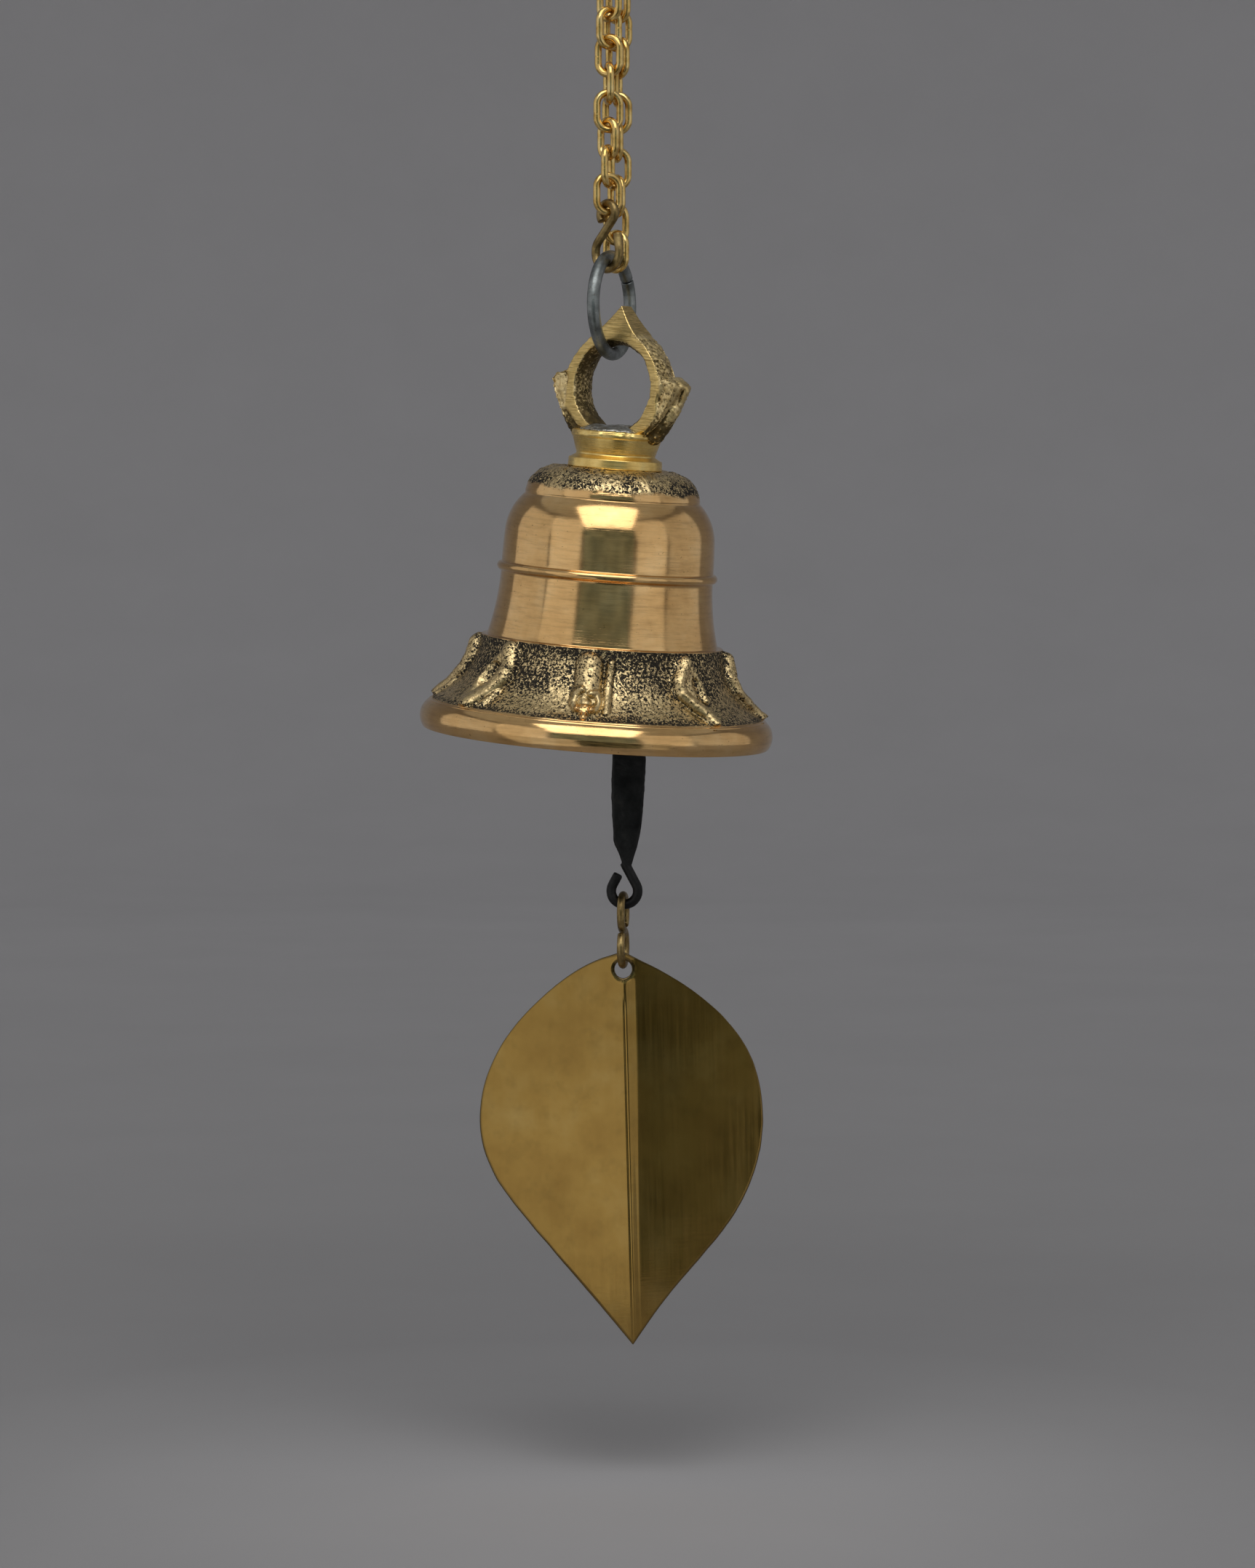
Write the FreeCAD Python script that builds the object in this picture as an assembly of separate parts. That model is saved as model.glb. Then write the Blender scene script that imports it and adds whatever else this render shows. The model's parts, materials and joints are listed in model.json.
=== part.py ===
import FreeCAD, Part
import math
import os

# Hanging wind bell: doubled cable chain, S-hook, iron ring, cast bell, strip clapper and leaf.
# Millimetres, +Z up, +X to the bell's right, +Y to its back.
# Origin: the place where the hook bears on the underside of the top link's upper side.

# ---- chain ----
LINK_WIRE = 1.85
LINK_LENGTH = 11.16
LINK_WIDTH = 7.7
FRONT_STEP = 6.948           # from one link's centre to the next
BACK_STEP = 6.975
FIRST_LINK_Z = -6.9
FRONT_TURNS = [143, 35, -23, 100, 8, -50, 73, 17]       # which way each link's plane faces, degrees
BACK_TURNS = [142, 19, -42, 81, -2, 105, 9, -61, 35, -34]
FRONT_TOP = (-1.095, -2.295)
FRONT_FOOT = (-1.475, -2.825)
BACK_TOP = (1.095, 2.295)
BACK_FOOT = (0.575, 2.985)

# ---- S-hook ----
HOOK_WIRE = 2.2
HOOK_TURN = -47.5
HOOK_TOP_RADIUS = 2.75
HOOK_TOP_GAP = 0.34
HOOK_FOOT_GAP = 0.26
HOOK_ALONG_RING = -2.9       # where the iron ring lies in it, from the ring's highest point
HOOK_FOOT_RADIUS = 4.45
HOOK_SHANK_LEAVE = -12       # where the shank leaves the small loop and meets the large one, degrees
HOOK_SHANK_MEET = 152
HOOK_TOP_END = 215           # how far round the small loop and the large loop run
HOOK_FOOT_END = 382
HOOK_TIP = (-0.4, 2.6)       # the straight end after the large loop

# ---- iron ring ----
RING_WIRE = 3.25
RING_RADIUS = 12.325         # to the middle of the wire
RING_TURN = 68
RING_CENTRE = (-0.485, -0.025, -83.47)
RING_GAP_ANGLE = 34          # where the open butt joint stands, up from the far side
RING_GAP = 0.5

# ---- bell, in its own frame: Z above the mouth ----
BELL_TILT = 5.05             # in the crown loop's own plane
CROWN_HOLE_Z = 89.3
CROWN_HOLE_RADIUS = 10.6
CROWN_RADIUS = 14.3
CROWN_WEAR = 1.6             # how much wider the hole is at its faces than in its middle
CROWN_DEPTH = 8.0
CROWN_TURN = -35
CONTACT_ANGLE = 23.0         # how far round the crown's hole the ring bears, from its top
CONTACT_GAP = 0.14
CAP_Z = 68.6
NECK_TOP_Z = 78.1
FIGURE_COUNT = 8
FIGURE_TURN = -4.5
FIGURE_HEIGHT = 1.5

# ---- clapper, staple, leaf link and leaf ----
STAPLE_WIRE = 2.5
STAPLE_RADIUS = 4.0
STAPLE_Z = 60.0
STAPLE_LEG = 3.4
CLAPPER_THICKNESS = 2.3
EYE_WIRE = 2.6
EYE_RADIUS = 3.4
CLAPPER_EYE = (3.1, -99.1)   # the lower eye's middle, from the staple
TOP_EYE_START = -42          # the eyes run from one angle to the other, then straight into the strip
TOP_EYE_END = 236
LOW_EYE_START = -208
LOW_EYE_END = 28
LEAF_LINK_WIRE = 2.0
LEAF_LINK_RADIUS = 4.475
LEAF_LINK_TURN = 82
LEAF_LINK_OPEN = 42          # how far each loop stops short of closing on the other, degrees
LEAF_HOLE_RADIUS = 2.25
LEAF_THICKNESS = 0.6
LEAF_LEAN = 1.5
LEAF_FOLD_LEFT = 17.0        # how far each half is bent back from flat
LEAF_FOLD_RIGHT = 8.0
FIT_GAP = 0.08


def vec(x, y, z):
    return FreeCAD.Vector(x, y, z)


def save(name, shape):
    """Write one node's shape."""
    shape.exportStep("parts/" + name + ".step")


def turned(shape, degrees):
    """Turn a shape about the vertical."""
    return shape.rotated(vec(0, 0, 0), vec(0, 0, 1), degrees)


def polar(centre, radius, angle):
    """A point of the XZ plane; the angle is in degrees from +X towards +Z."""
    turn = math.radians(angle)
    return (centre[0] + radius * math.cos(turn), centre[1] + radius * math.sin(turn))


def bow(centre, radius, start, end, wire):
    """Round wire bent along an arc in the XZ plane."""
    x, z = polar(centre, radius, start)
    along = polar((0, 0), 1, start + 90)
    section = Part.Face(Part.Wire(Part.makeCircle(wire / 2, vec(x, 0, z), vec(along[0], 0, along[1]))))
    return section.revolve(vec(centre[0], 0, centre[1]), vec(0, -1, 0), end - start)


def bar(start, end, wire):
    """Straight round wire between two points of the XZ plane."""
    along = vec(end[0] - start[0], 0, end[1] - start[1])
    return Part.makeCylinder(wire / 2, along.Length, vec(start[0], 0, start[1]), along)


def join(pieces):
    """One solid from pieces that meet end to end."""
    return pieces[0].multiFuse(pieces[1:]).removeSplitter()


def line(start, end):
    """A straight edge in the XZ plane."""
    return Part.makeLine(vec(start[0], 0, start[1]), vec(end[0], 0, end[1]))


def chain_link(centre, turn):
    """One oval link, standing up, with its plane turned about the vertical."""
    bend = (LINK_WIDTH - LINK_WIRE) / 2
    half = (LINK_LENGTH - LINK_WIRE) / 2 - bend
    link = join([bow((0, half), bend, 0, 180, LINK_WIRE), bar((-bend, half), (-bend, -half), LINK_WIRE),
                 bow((0, -half), bend, 180, 360, LINK_WIRE), bar((bend, -half), (bend, half), LINK_WIRE)])
    return turned(link, turn).translated(vec(*centre))


def strand(name, top, foot, step, turns):
    """A run of links from its top place to its foot, each hanging in the one above."""
    last = len(turns) - 1
    for number, turn in enumerate(turns):
        part_way = number / last
        x = top[0] + (foot[0] - top[0]) * part_way
        y = top[1] + (foot[1] - top[1]) * part_way
        save("%s_%02d" % (name, number + 1), chain_link((x, y, FIRST_LINK_Z - step * number), turn))


def top_link():
    """The middle link of the doubled chain, lying on its side over the hook."""
    link = chain_link((0, 0, 0), 0).rotated(vec(0, 0, 0), vec(0, 1, 0), 90)
    dx = BACK_TOP[0] - FRONT_TOP[0]
    dy = BACK_TOP[1] - FRONT_TOP[1]
    middle = vec((BACK_TOP[0] + FRONT_TOP[0]) / 2, (BACK_TOP[1] + FRONT_TOP[1]) / 2, 0)
    link = turned(link, math.degrees(math.atan2(dy, dx)))
    return link.translated(middle + vec(0, 0, LINK_WIRE - LINK_WIDTH / 2))


def s_hook():
    """Bent wire hook: small loop in the front strand, large loop under the iron ring."""
    ring_turn = math.radians(RING_TURN)
    anchor = vec(RING_CENTRE[0] + HOOK_ALONG_RING * math.cos(ring_turn),
                 RING_CENTRE[1] + HOOK_ALONG_RING * math.sin(ring_turn), 0)
    plane = vec(math.cos(math.radians(HOOK_TURN)), math.sin(math.radians(HOOK_TURN)), 0)
    aside = (vec(*FRONT_FOOT, 0) - anchor).dot(plane)
    front_last_z = FIRST_LINK_Z - FRONT_STEP * (len(FRONT_TURNS) - 1)
    seat_z = front_last_z - (LINK_LENGTH - LINK_WIRE) / 2
    high = (aside, seat_z + (LINK_WIRE + HOOK_WIRE) / 2 + HOOK_TOP_GAP - HOOK_TOP_RADIUS)
    ring_wire_z = RING_CENTRE[2] + math.sqrt(RING_RADIUS ** 2 - HOOK_ALONG_RING ** 2)
    low = (0, ring_wire_z - (RING_WIRE + HOOK_WIRE) / 2 - HOOK_FOOT_GAP + HOOK_FOOT_RADIUS)
    leave = polar(high, HOOK_TOP_RADIUS, HOOK_SHANK_LEAVE)
    meet = polar(low, HOOK_FOOT_RADIUS, HOOK_SHANK_MEET)
    tip = polar(low, HOOK_FOOT_RADIUS, HOOK_FOOT_END)
    hook = join([bow(high, HOOK_TOP_RADIUS, HOOK_SHANK_LEAVE, HOOK_TOP_END, HOOK_WIRE),
                 bar(leave, meet, HOOK_WIRE),
                 bow(low, HOOK_FOOT_RADIUS, HOOK_SHANK_MEET, HOOK_FOOT_END, HOOK_WIRE),
                 bar(tip, (tip[0] + HOOK_TIP[0], tip[1] + HOOK_TIP[1]), HOOK_WIRE)])
    return turned(hook, HOOK_TURN).translated(anchor)


def hanging_ring():
    """Iron ring bent from round wire, its ends butted but not welded."""
    half_gap = math.degrees(RING_GAP / 2 / RING_RADIUS)
    start = RING_GAP_ANGLE + half_gap
    end = RING_GAP_ANGLE + 360 - half_gap
    ring = bow((0, 0), RING_RADIUS, start, end, RING_WIRE)
    return turned(ring, RING_TURN).translated(vec(*RING_CENTRE))


def in_place(shape):
    """Carry a shape from the bell's own frame to where the bell hangs from the iron ring.

    The ring bears a little to one side of the top of the crown's hole, so the bell leans the other way.
    """
    reach = CROWN_HOLE_RADIUS - RING_WIRE / 2 - CONTACT_GAP
    x, z = polar((0, CROWN_HOLE_Z), reach, 90 + CONTACT_ANGLE)
    contact = turned(Part.Vertex(vec(x, 0, z)), CROWN_TURN).Point
    hinge = vec(*polar((0, 0), 1, CROWN_TURN + 90), 0)
    leaning = shape.translated(-contact).rotated(vec(0, 0, 0), hinge, BELL_TILT)
    return leaning.translated(vec(*RING_CENTRE) - vec(0, 0, RING_RADIUS))


def revolve(edges):
    """Turn a closed outline in the XZ plane about the bell's axis."""
    return Part.Face(Part.Wire(edges)).revolve(vec(0, 0, 0), vec(0, 0, 1), 360)


def through(*points):
    """An arc through three points of the XZ plane."""
    return Part.Arc(*[vec(x, 0, z) for x, z in points]).toShape()


def band_figures():
    """Raised pointed bud shapes standing on the cove of the band."""
    raised = revolve([through((43.4, 8.0), (36.2 + FIGURE_HEIGHT, 15.6), (31.2 + FIGURE_HEIGHT, 24.0)),
                      line((31.2 + FIGURE_HEIGHT, 24.0), (29.2, 24.0)),
                      line((29.2, 24.0), (29.2, 16.5)), line((29.2, 16.5), (41.0, 8.0)),
                      line((41.0, 8.0), (43.4, 8.0))])
    bud = Part.Face(Part.Wire([
        through((-9.6, 8.4), (-7.6, 14.6), (-5.0, 18.2)), through((-5.0, 18.2), (-3.4, 22.0), (0, 23.6)),
        through((0, 23.6), (3.4, 22.0), (5.0, 18.2)), through((5.0, 18.2), (7.6, 14.6), (9.6, 8.4)),
        line((9.6, 8.4), (-9.6, 8.4))])).extrude(vec(0, -60, 0))
    figure = raised.common(bud)
    step = 360 / FIGURE_COUNT
    return [turned(figure, FIGURE_TURN + step * number) for number in range(FIGURE_COUNT)]


def bell_shell():
    """Cast and turned shell: rounded lip, coved figure band, waist with a bead, rough cap."""
    edges = [line((0, 65.2), (0, CAP_Z)), line((0, CAP_Z), (15.4, CAP_Z)),
             through((15.4, CAP_Z), (20.0, 66.3), (22.4, 61.0)),
             through((22.4, 61.0), (25.3, 57.0), (26.7, 52.0)),
             through((26.7, 52.0), (26.9, 48.0), (27.0, 43.5)),
             through((27.0, 43.5), (28.1, 42.3), (27.0, 41.1)),
             through((27.0, 41.1), (27.7, 33.0), (29.5, 24.9)),
             line((29.5, 24.9), (30.6, 24.4)),
             through((30.6, 24.4), (34.6, 14.4), (42.9, 7.2)),
             through((42.9, 7.2), (45.2, 2.4), (44.2, 0)),
             line((44.2, 0), (41.2, 0)), through((41.2, 0), (40.4, 4.2), (38.0, 7.2)),
             through((38.0, 7.2), (31.2, 13.4), (26.6, 24.0)),
             through((26.6, 24.0), (24.4, 34.0), (23.6, 46.0)),
             through((23.6, 46.0), (22.4, 56.4), (17.5, 62.6)),
             through((17.5, 62.6), (9.0, 64.7), (0, 65.2))]
    shell = revolve(edges)
    return shell.multiFuse(band_figures())


def crown_loop():
    """Cast eye over the bell: a broad ring with a pointed peak and a leaf spur on each side."""
    outline = []
    half = [((0, 20.8), (2.6, 17.2), (7.4, 12.3)), ((7.4, 12.3), (12.0, 7.8), (14.2, 3.4)),
            ((14.2, 3.4), (16.4, 3.2), (19.3, 1.2)), ((19.3, 1.2), (16.2, -5.8), (10.9, -12.0)),
            ((10.9, -12.0), (6.0, -14.2), (0, -CROWN_RADIUS))]
    for points in half:
        outline.append(through(*points))
    for points in reversed(half):
        outline.append(through(*[(-x, z) for x, z in reversed(points)]))
    plate = Part.Face(Part.Wire(outline)).extrude(vec(0, CROWN_DEPTH, 0))
    plate = plate.translated(vec(0, -CROWN_DEPTH / 2, 0))
    side = CROWN_DEPTH / 2 + 0.5
    wide = CROWN_HOLE_RADIUS + CROWN_WEAR
    hole = revolve([line((0, -side), (wide, -side)),
                    through((wide, -side), (CROWN_HOLE_RADIUS, 0), (wide, side)),
                    line((wide, side), (0, side)), line((0, side), (0, -side))])
    loop = plate.cut(hole.rotated(vec(0, 0, 0), vec(1, 0, 0), 90))
    return turned(loop, CROWN_TURN).translated(vec(0, 0, CROWN_HOLE_Z))


def neck(loop):
    """Turned brass neck: foot collar, narrow waist and a flared seat that takes the crown loop."""
    edges = [line((0, CAP_Z), (11.6, CAP_Z)), through((11.6, CAP_Z), (12.2, 69.8), (11.6, 71.0)),
             through((11.6, 71.0), (10.0, 72.6), (11.0, 75.6)), line((11.0, 75.6), (11.7, 77.4)),
             line((11.7, 77.4), (11.4, NECK_TOP_Z)), line((11.4, NECK_TOP_Z), (0, NECK_TOP_Z)),
             line((0, NECK_TOP_Z), (0, CAP_Z))]
    return revolve(edges).cut(loop)


def braze(loop):
    """Fillet of braze left round the foot of the crown loop on the neck."""
    edges = [line((0, NECK_TOP_Z), (9.6, NECK_TOP_Z)),
             through((9.6, NECK_TOP_Z), (8.0, NECK_TOP_Z + 0.9), (5.6, NECK_TOP_Z + 1.5)),
             line((5.6, NECK_TOP_Z + 1.5), (0, NECK_TOP_Z + 1.5)),
             line((0, NECK_TOP_Z + 1.5), (0, NECK_TOP_Z))]
    keep_out = turned(Part.makeBox(60, CROWN_DEPTH, 20, vec(-30, -CROWN_DEPTH / 2, NECK_TOP_Z - 5)),
                      CROWN_TURN)
    return revolve(edges).cut(keep_out.fuse(loop))


def clapper_staple():
    """Wire staple set in the crown of the bell, carrying the clapper."""
    centre = (0, STAPLE_Z + STAPLE_RADIUS)
    top = centre[1] + STAPLE_LEG
    staple = join([bar((-STAPLE_RADIUS, top), (-STAPLE_RADIUS, centre[1]), STAPLE_WIRE),
                   bow(centre, STAPLE_RADIUS, 180, 360, STAPLE_WIRE),
                   bar((STAPLE_RADIUS, centre[1]), (STAPLE_RADIUS, top), STAPLE_WIRE)])
    return turned(staple, 90)


def pivot():
    """The middle of the staple's lowest part, where the clapper hangs."""
    return in_place(Part.Vertex(vec(0, 0, STAPLE_Z))).Point


def clapper():
    """Forged iron strip between two bent eyes; its frame starts at the staple."""
    reach = (STAPLE_WIRE + EYE_WIRE) / 2 + FIT_GAP
    high = (0, reach - EYE_RADIUS)
    eye_start = polar(high, EYE_RADIUS, TOP_EYE_START)
    top_eye = [bar(eye_start, polar(eye_start, 5.0, TOP_EYE_START - 90), EYE_WIRE),
               bow(high, EYE_RADIUS, TOP_EYE_START, TOP_EYE_END, EYE_WIRE)]
    shoulder = polar(CLAPPER_EYE, EYE_RADIUS, LOW_EYE_END)
    bent_back = polar(CLAPPER_EYE, EYE_RADIUS, LOW_EYE_START)
    low_eye = [bar(shoulder, polar(shoulder, 6.5, LOW_EYE_END + 90), EYE_WIRE),
               bow(CLAPPER_EYE, EYE_RADIUS, LOW_EYE_START, LOW_EYE_END, EYE_WIRE),
               bar(bent_back, polar(bent_back, 3.2, LOW_EYE_START - 90), EYE_WIRE)]
    outline = [through((-1.4, -5.6), (-2.6, -8.0), (-3.4, -12.0)),
               through((-3.4, -12.0), (-1.6, -38.0), (0.05, -60.0)),
               through((0.05, -60.0), (-0.2, -75.0), (0.2, -86.0)),
               line((0.2, -86.0), (2.6, -92.2)), line((2.6, -92.2), (5.0, -92.2)),
               line((5.0, -92.2), (6.7, -86.0)),
               through((6.7, -86.0), (8.2, -75.0), (8.1, -60.0)),
               through((8.1, -60.0), (6.4, -38.0), (4.4, -12.0)),
               through((4.4, -12.0), (3.2, -7.6), (1.8, -5.6)), line((1.8, -5.6), (-1.4, -5.6))]
    strip = Part.Face(Part.Wire(outline)).extrude(vec(0, CLAPPER_THICKNESS, 0))
    strip = strip.translated(vec(0, -CLAPPER_THICKNESS / 2, 0))
    return join([strip] + top_eye + low_eye).translated(pivot())


def eye_seat():
    """The middle of the wire at the bottom of the clapper's lower eye."""
    return pivot() + vec(CLAPPER_EYE[0], 0, CLAPPER_EYE[1] - EYE_RADIUS)


def leaf_link():
    """S-shaped wire link with both loops squeezed nearly shut."""
    high = (0, 3 * LEAF_LINK_RADIUS)
    low = (0, LEAF_LINK_RADIUS)
    link = join([bow(high, LEAF_LINK_RADIUS, LEAF_LINK_OPEN - 90, 270, LEAF_LINK_WIRE),
                 bow(low, LEAF_LINK_RADIUS, LEAF_LINK_OPEN - 270, 90, LEAF_LINK_WIRE)])
    return turned(link, LEAF_LINK_TURN).translated(leaf_seat())


def leaf_seat():
    """The middle of the wire at the bottom of the leaf link."""
    rise = (EYE_WIRE + LEAF_LINK_WIRE) / 2 + FIT_GAP
    return eye_seat() + vec(-0.35, 0, rise - 4 * LEAF_LINK_RADIUS)


def leaf_half(side, points, fold):
    """One half of the leaf, flat, folded back about the crease; side is -1 or 1."""
    spots = [vec(side * x, 0, z) for x, z in points]
    curve = Part.BSplineCurve()
    curve.interpolate(spots)
    edge = curve.toShape()
    crease = Part.makeLine(spots[-1], spots[0])
    sheet = Part.Face(Part.Wire([edge, crease])).extrude(vec(0, LEAF_THICKNESS, 0))
    return sheet.rotated(vec(0, 0, 0), vec(0, 0, 1), side * fold)


def leaf():
    """Creased sheet-brass leaf with a round hanging hole near its top."""
    left = leaf_half(-1, [(0, 4.6), (7.3, 2.3), (21.6, -6.8), (33.5, -19.7), (39.9, -38.0), (37.4, -51.6),
                          (31.5, -60.6), (20.3, -73.7), (6.8, -89.0), (0, -96.9)], LEAF_FOLD_LEFT)
    right = leaf_half(1, [(0, 4.6), (8.9, -0.2), (22.5, -10.0), (31.8, -22.0), (35.4, -38.3), (31.6, -56.7),
                          (24.2, -68.5), (11.8, -82.1), (0, -96.9)], LEAF_FOLD_RIGHT)
    sheet = left.fuse(right)
    hole = Part.makeCylinder(LEAF_HOLE_RADIUS, 20, vec(0, -10, 0), vec(0, 1, 0))
    sheet = sheet.cut(hole)
    sheet = sheet.rotated(vec(0, 0, 0), vec(0, 1, 0), -LEAF_LEAN)
    drop = LEAF_HOLE_RADIUS - LEAF_LINK_WIRE / 2 - FIT_GAP
    return sheet.translated(leaf_seat() - vec(0, LEAF_THICKNESS / 2, drop))


def main():
    os.makedirs("parts", exist_ok=True)
    save("top_link", top_link())
    strand("chain_front", FRONT_TOP, FRONT_FOOT, FRONT_STEP, FRONT_TURNS)
    strand("chain_back", BACK_TOP, BACK_FOOT, BACK_STEP, BACK_TURNS)
    save("s_hook", s_hook())
    save("hanging_ring", hanging_ring())
    loop = crown_loop()
    staple = clapper_staple()
    save("crown_loop", in_place(loop))
    save("neck", in_place(neck(loop)))
    save("braze", in_place(braze(loop)))
    save("bell_shell", in_place(bell_shell().cut(staple)))
    save("clapper_staple", in_place(staple))
    save("clapper", clapper())
    save("leaf_link", leaf_link())
    save("leaf", leaf())


main()
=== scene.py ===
import json
import math

import bmesh
import bpy
import numpy as np
from mathutils import Matrix, Vector


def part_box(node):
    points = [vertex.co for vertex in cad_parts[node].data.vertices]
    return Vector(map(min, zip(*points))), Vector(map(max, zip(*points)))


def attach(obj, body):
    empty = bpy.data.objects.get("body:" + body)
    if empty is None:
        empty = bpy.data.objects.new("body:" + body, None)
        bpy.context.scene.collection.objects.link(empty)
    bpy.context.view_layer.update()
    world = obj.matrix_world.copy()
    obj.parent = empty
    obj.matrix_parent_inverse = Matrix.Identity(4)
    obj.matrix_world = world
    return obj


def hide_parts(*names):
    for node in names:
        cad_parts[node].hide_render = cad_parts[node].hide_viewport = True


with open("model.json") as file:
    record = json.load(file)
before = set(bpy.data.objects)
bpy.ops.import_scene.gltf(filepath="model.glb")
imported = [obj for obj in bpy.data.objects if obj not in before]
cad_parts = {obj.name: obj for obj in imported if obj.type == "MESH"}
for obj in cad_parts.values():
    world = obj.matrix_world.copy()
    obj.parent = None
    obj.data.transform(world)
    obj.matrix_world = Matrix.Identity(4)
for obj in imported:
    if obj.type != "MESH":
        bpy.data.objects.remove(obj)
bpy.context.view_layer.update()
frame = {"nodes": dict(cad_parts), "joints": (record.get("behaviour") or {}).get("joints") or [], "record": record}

MM = 0.001
JOINTS = {joint["name"]: joint for joint in frame["joints"]}


# ---------------------------------------------------------------- places and sizes (mm)

def joint_at(name):
    """A joint's place in the row frame, in millimetres."""
    return np.array(JOINTS[name]["pos_m"]) / MM


CHAIN_WIRE = 1.83
CAD_CHAIN_WIRE = 1.85
LINK_LENGTH = 11.16
LINK_WIDTH = 7.7
LINK_DENTS = 0.010
RING_WIRE = 3.25
RING_RADIUS = 12.325
RING_TURN = 68
RING_GAP_ANGLE = 34
RING_GAP = 0.5
RING_DENTS = 0.016

HOOK_WIRE = 2.2
HOOK_TURN = -47.5
HOOK_TOP_RADIUS = 2.75
HOOK_TOP_GAP = 0.34
HOOK_FOOT_GAP = 0.26
HOOK_ALONG_RING = -2.9
HOOK_FOOT_RADIUS = 4.45

BELL_TILT = 5.05
CROWN_TURN = -35
CROWN_HOLE_Z = 89.3
CROWN_HOLE_RADIUS = 10.6
CONTACT_ANGLE = 23.0
CONTACT_GAP = 0.14
CAP_Z = 68.6
NECK_TOP_Z = 78.1
FIGURE_COUNT = 8
FIGURE_TURN = -4.5

LEAF_LINK_WIRE = 2.0
LEAF_LINK_RADIUS = 4.475
LEAF_LINK_TURN = 82
LEAF_HOLE_RADIUS = 2.25
LEAF_THICKNESS = 0.6
LEAF_LEAN = 1.5
LEAF_FOLD_LEFT = 17.0
LEAF_FOLD_RIGHT = 8.0
FIT_GAP = 0.08


# ---------------------------------------------------------------- helpers

def noise(points, size, seed):
    """Smooth random values in -1..1 at points, varying over the given size."""
    cells = points / size + 17.31 * seed
    base = np.floor(cells).astype(np.int64)
    part = cells - base
    part = part * part * (3 - 2 * part)
    total = np.zeros(len(points))
    for corner in range(8):
        step = np.array([corner & 1, corner >> 1 & 1, corner >> 2 & 1])
        spot = base + step
        key = (spot[:, 0] * 73856093) ^ (spot[:, 1] * 19349663) ^ (spot[:, 2] * 83492791) ^ (seed * 2654435)
        key = (key ^ (key >> 13)) * 1274126177 & 0x7FFFFFFF
        value = (key ^ (key >> 16)) % 65536 / 32767.5 - 1
        weight = np.prod(np.where(step, part, 1 - part), axis=1)
        total += value * weight
    return total


def layered(points, size, seed):
    """Noise summed over three sizes, each half the last."""
    return sum(noise(points, size / 2 ** layer, seed + layer) / 2 ** layer for layer in range(3))


def turn_matrix(axis, degrees):
    return np.array(Matrix.Rotation(math.radians(degrees), 3, Vector(axis)))


def smooth_step(low, high, value):
    part = np.clip((value - low) / (high - low), 0, 1)
    return part * part * (3 - 2 * part)


def outwards(mesh):
    """Turn a closed mesh's faces outwards."""
    work = bmesh.new()
    work.from_mesh(mesh)
    if work.calc_volume(signed=True) < 0:
        bmesh.ops.reverse_faces(work, faces=work.faces)
        work.to_mesh(mesh)
    work.free()


def add_object(name, data):
    """A new object in the scene."""
    thing = bpy.data.objects.new(name, data)
    bpy.context.scene.collection.objects.link(thing)
    return thing


def make_mesh(name, points, faces, marks=None):
    """A mesh object from points in millimetres, smooth shaded, with optional float attributes."""
    mesh = bpy.data.meshes.new(name)
    mesh.from_pydata((np.asarray(points) * MM).tolist(), [], faces)
    for label, values in (marks or {}).items():
        values = np.asarray(values, np.float32)
        kind, field = ("FLOAT_VECTOR", "vector") if values.ndim == 2 else ("FLOAT", "value")
        mesh.attributes.new(label, kind, "POINT").data.foreach_set(field, values.ravel())
    outwards(mesh)
    mesh.polygons.foreach_set("use_smooth", [True] * len(mesh.polygons))
    mesh.update()
    return add_object(name, mesh)


def grid_faces(rows, columns, wrap_rows=False, wrap_columns=False):
    """Quads of a grid of points, row after row."""
    r = np.arange(rows if wrap_rows else rows - 1)
    c = np.arange(columns if wrap_columns else columns - 1)
    a, b = np.meshgrid(r, c, indexing="ij")
    a, b = a.ravel(), b.ravel()
    a2, b2 = (a + 1) % rows, (b + 1) % columns
    quads = np.stack([a * columns + b, a * columns + b2, a2 * columns + b2, a2 * columns + b], axis=1)
    return quads.tolist()


def arc_points(centre, radius, start, end, step=3.0):
    """Points along an arc in the XZ plane, degrees from +X towards +Z."""
    count = max(3, int(abs(end - start) / step) + 1)
    turn = np.radians(np.linspace(start, end, count))
    return np.stack([centre[0] + radius * np.cos(turn), np.zeros(count), centre[1] + radius * np.sin(turn)], axis=1)


def even(points, spacing):
    """The same path with evenly spaced points."""
    points = np.asarray(points, float)
    gaps = np.linalg.norm(np.diff(points, axis=0), axis=1)
    keep = np.concatenate([[True], gaps > 1e-6])
    points = points[keep]
    along = np.concatenate([[0], np.cumsum(np.linalg.norm(np.diff(points, axis=0), axis=1))])
    count = max(4, int(along[-1] / spacing) + 1)
    places = np.linspace(0, along[-1], count)
    return np.stack([np.interp(places, along, points[:, k]) for k in range(3)], axis=1)


def softened(points, passes, closed=False):
    """A path with its corners eased."""
    points = points.copy()
    for _ in range(passes):
        before, after = np.roll(points, 1, axis=0), np.roll(points, -1, axis=0)
        eased = (before + 2 * points + after) / 4
        if not closed:
            eased[0], eased[-1] = points[0], points[-1]
        points = eased
    return points


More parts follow.
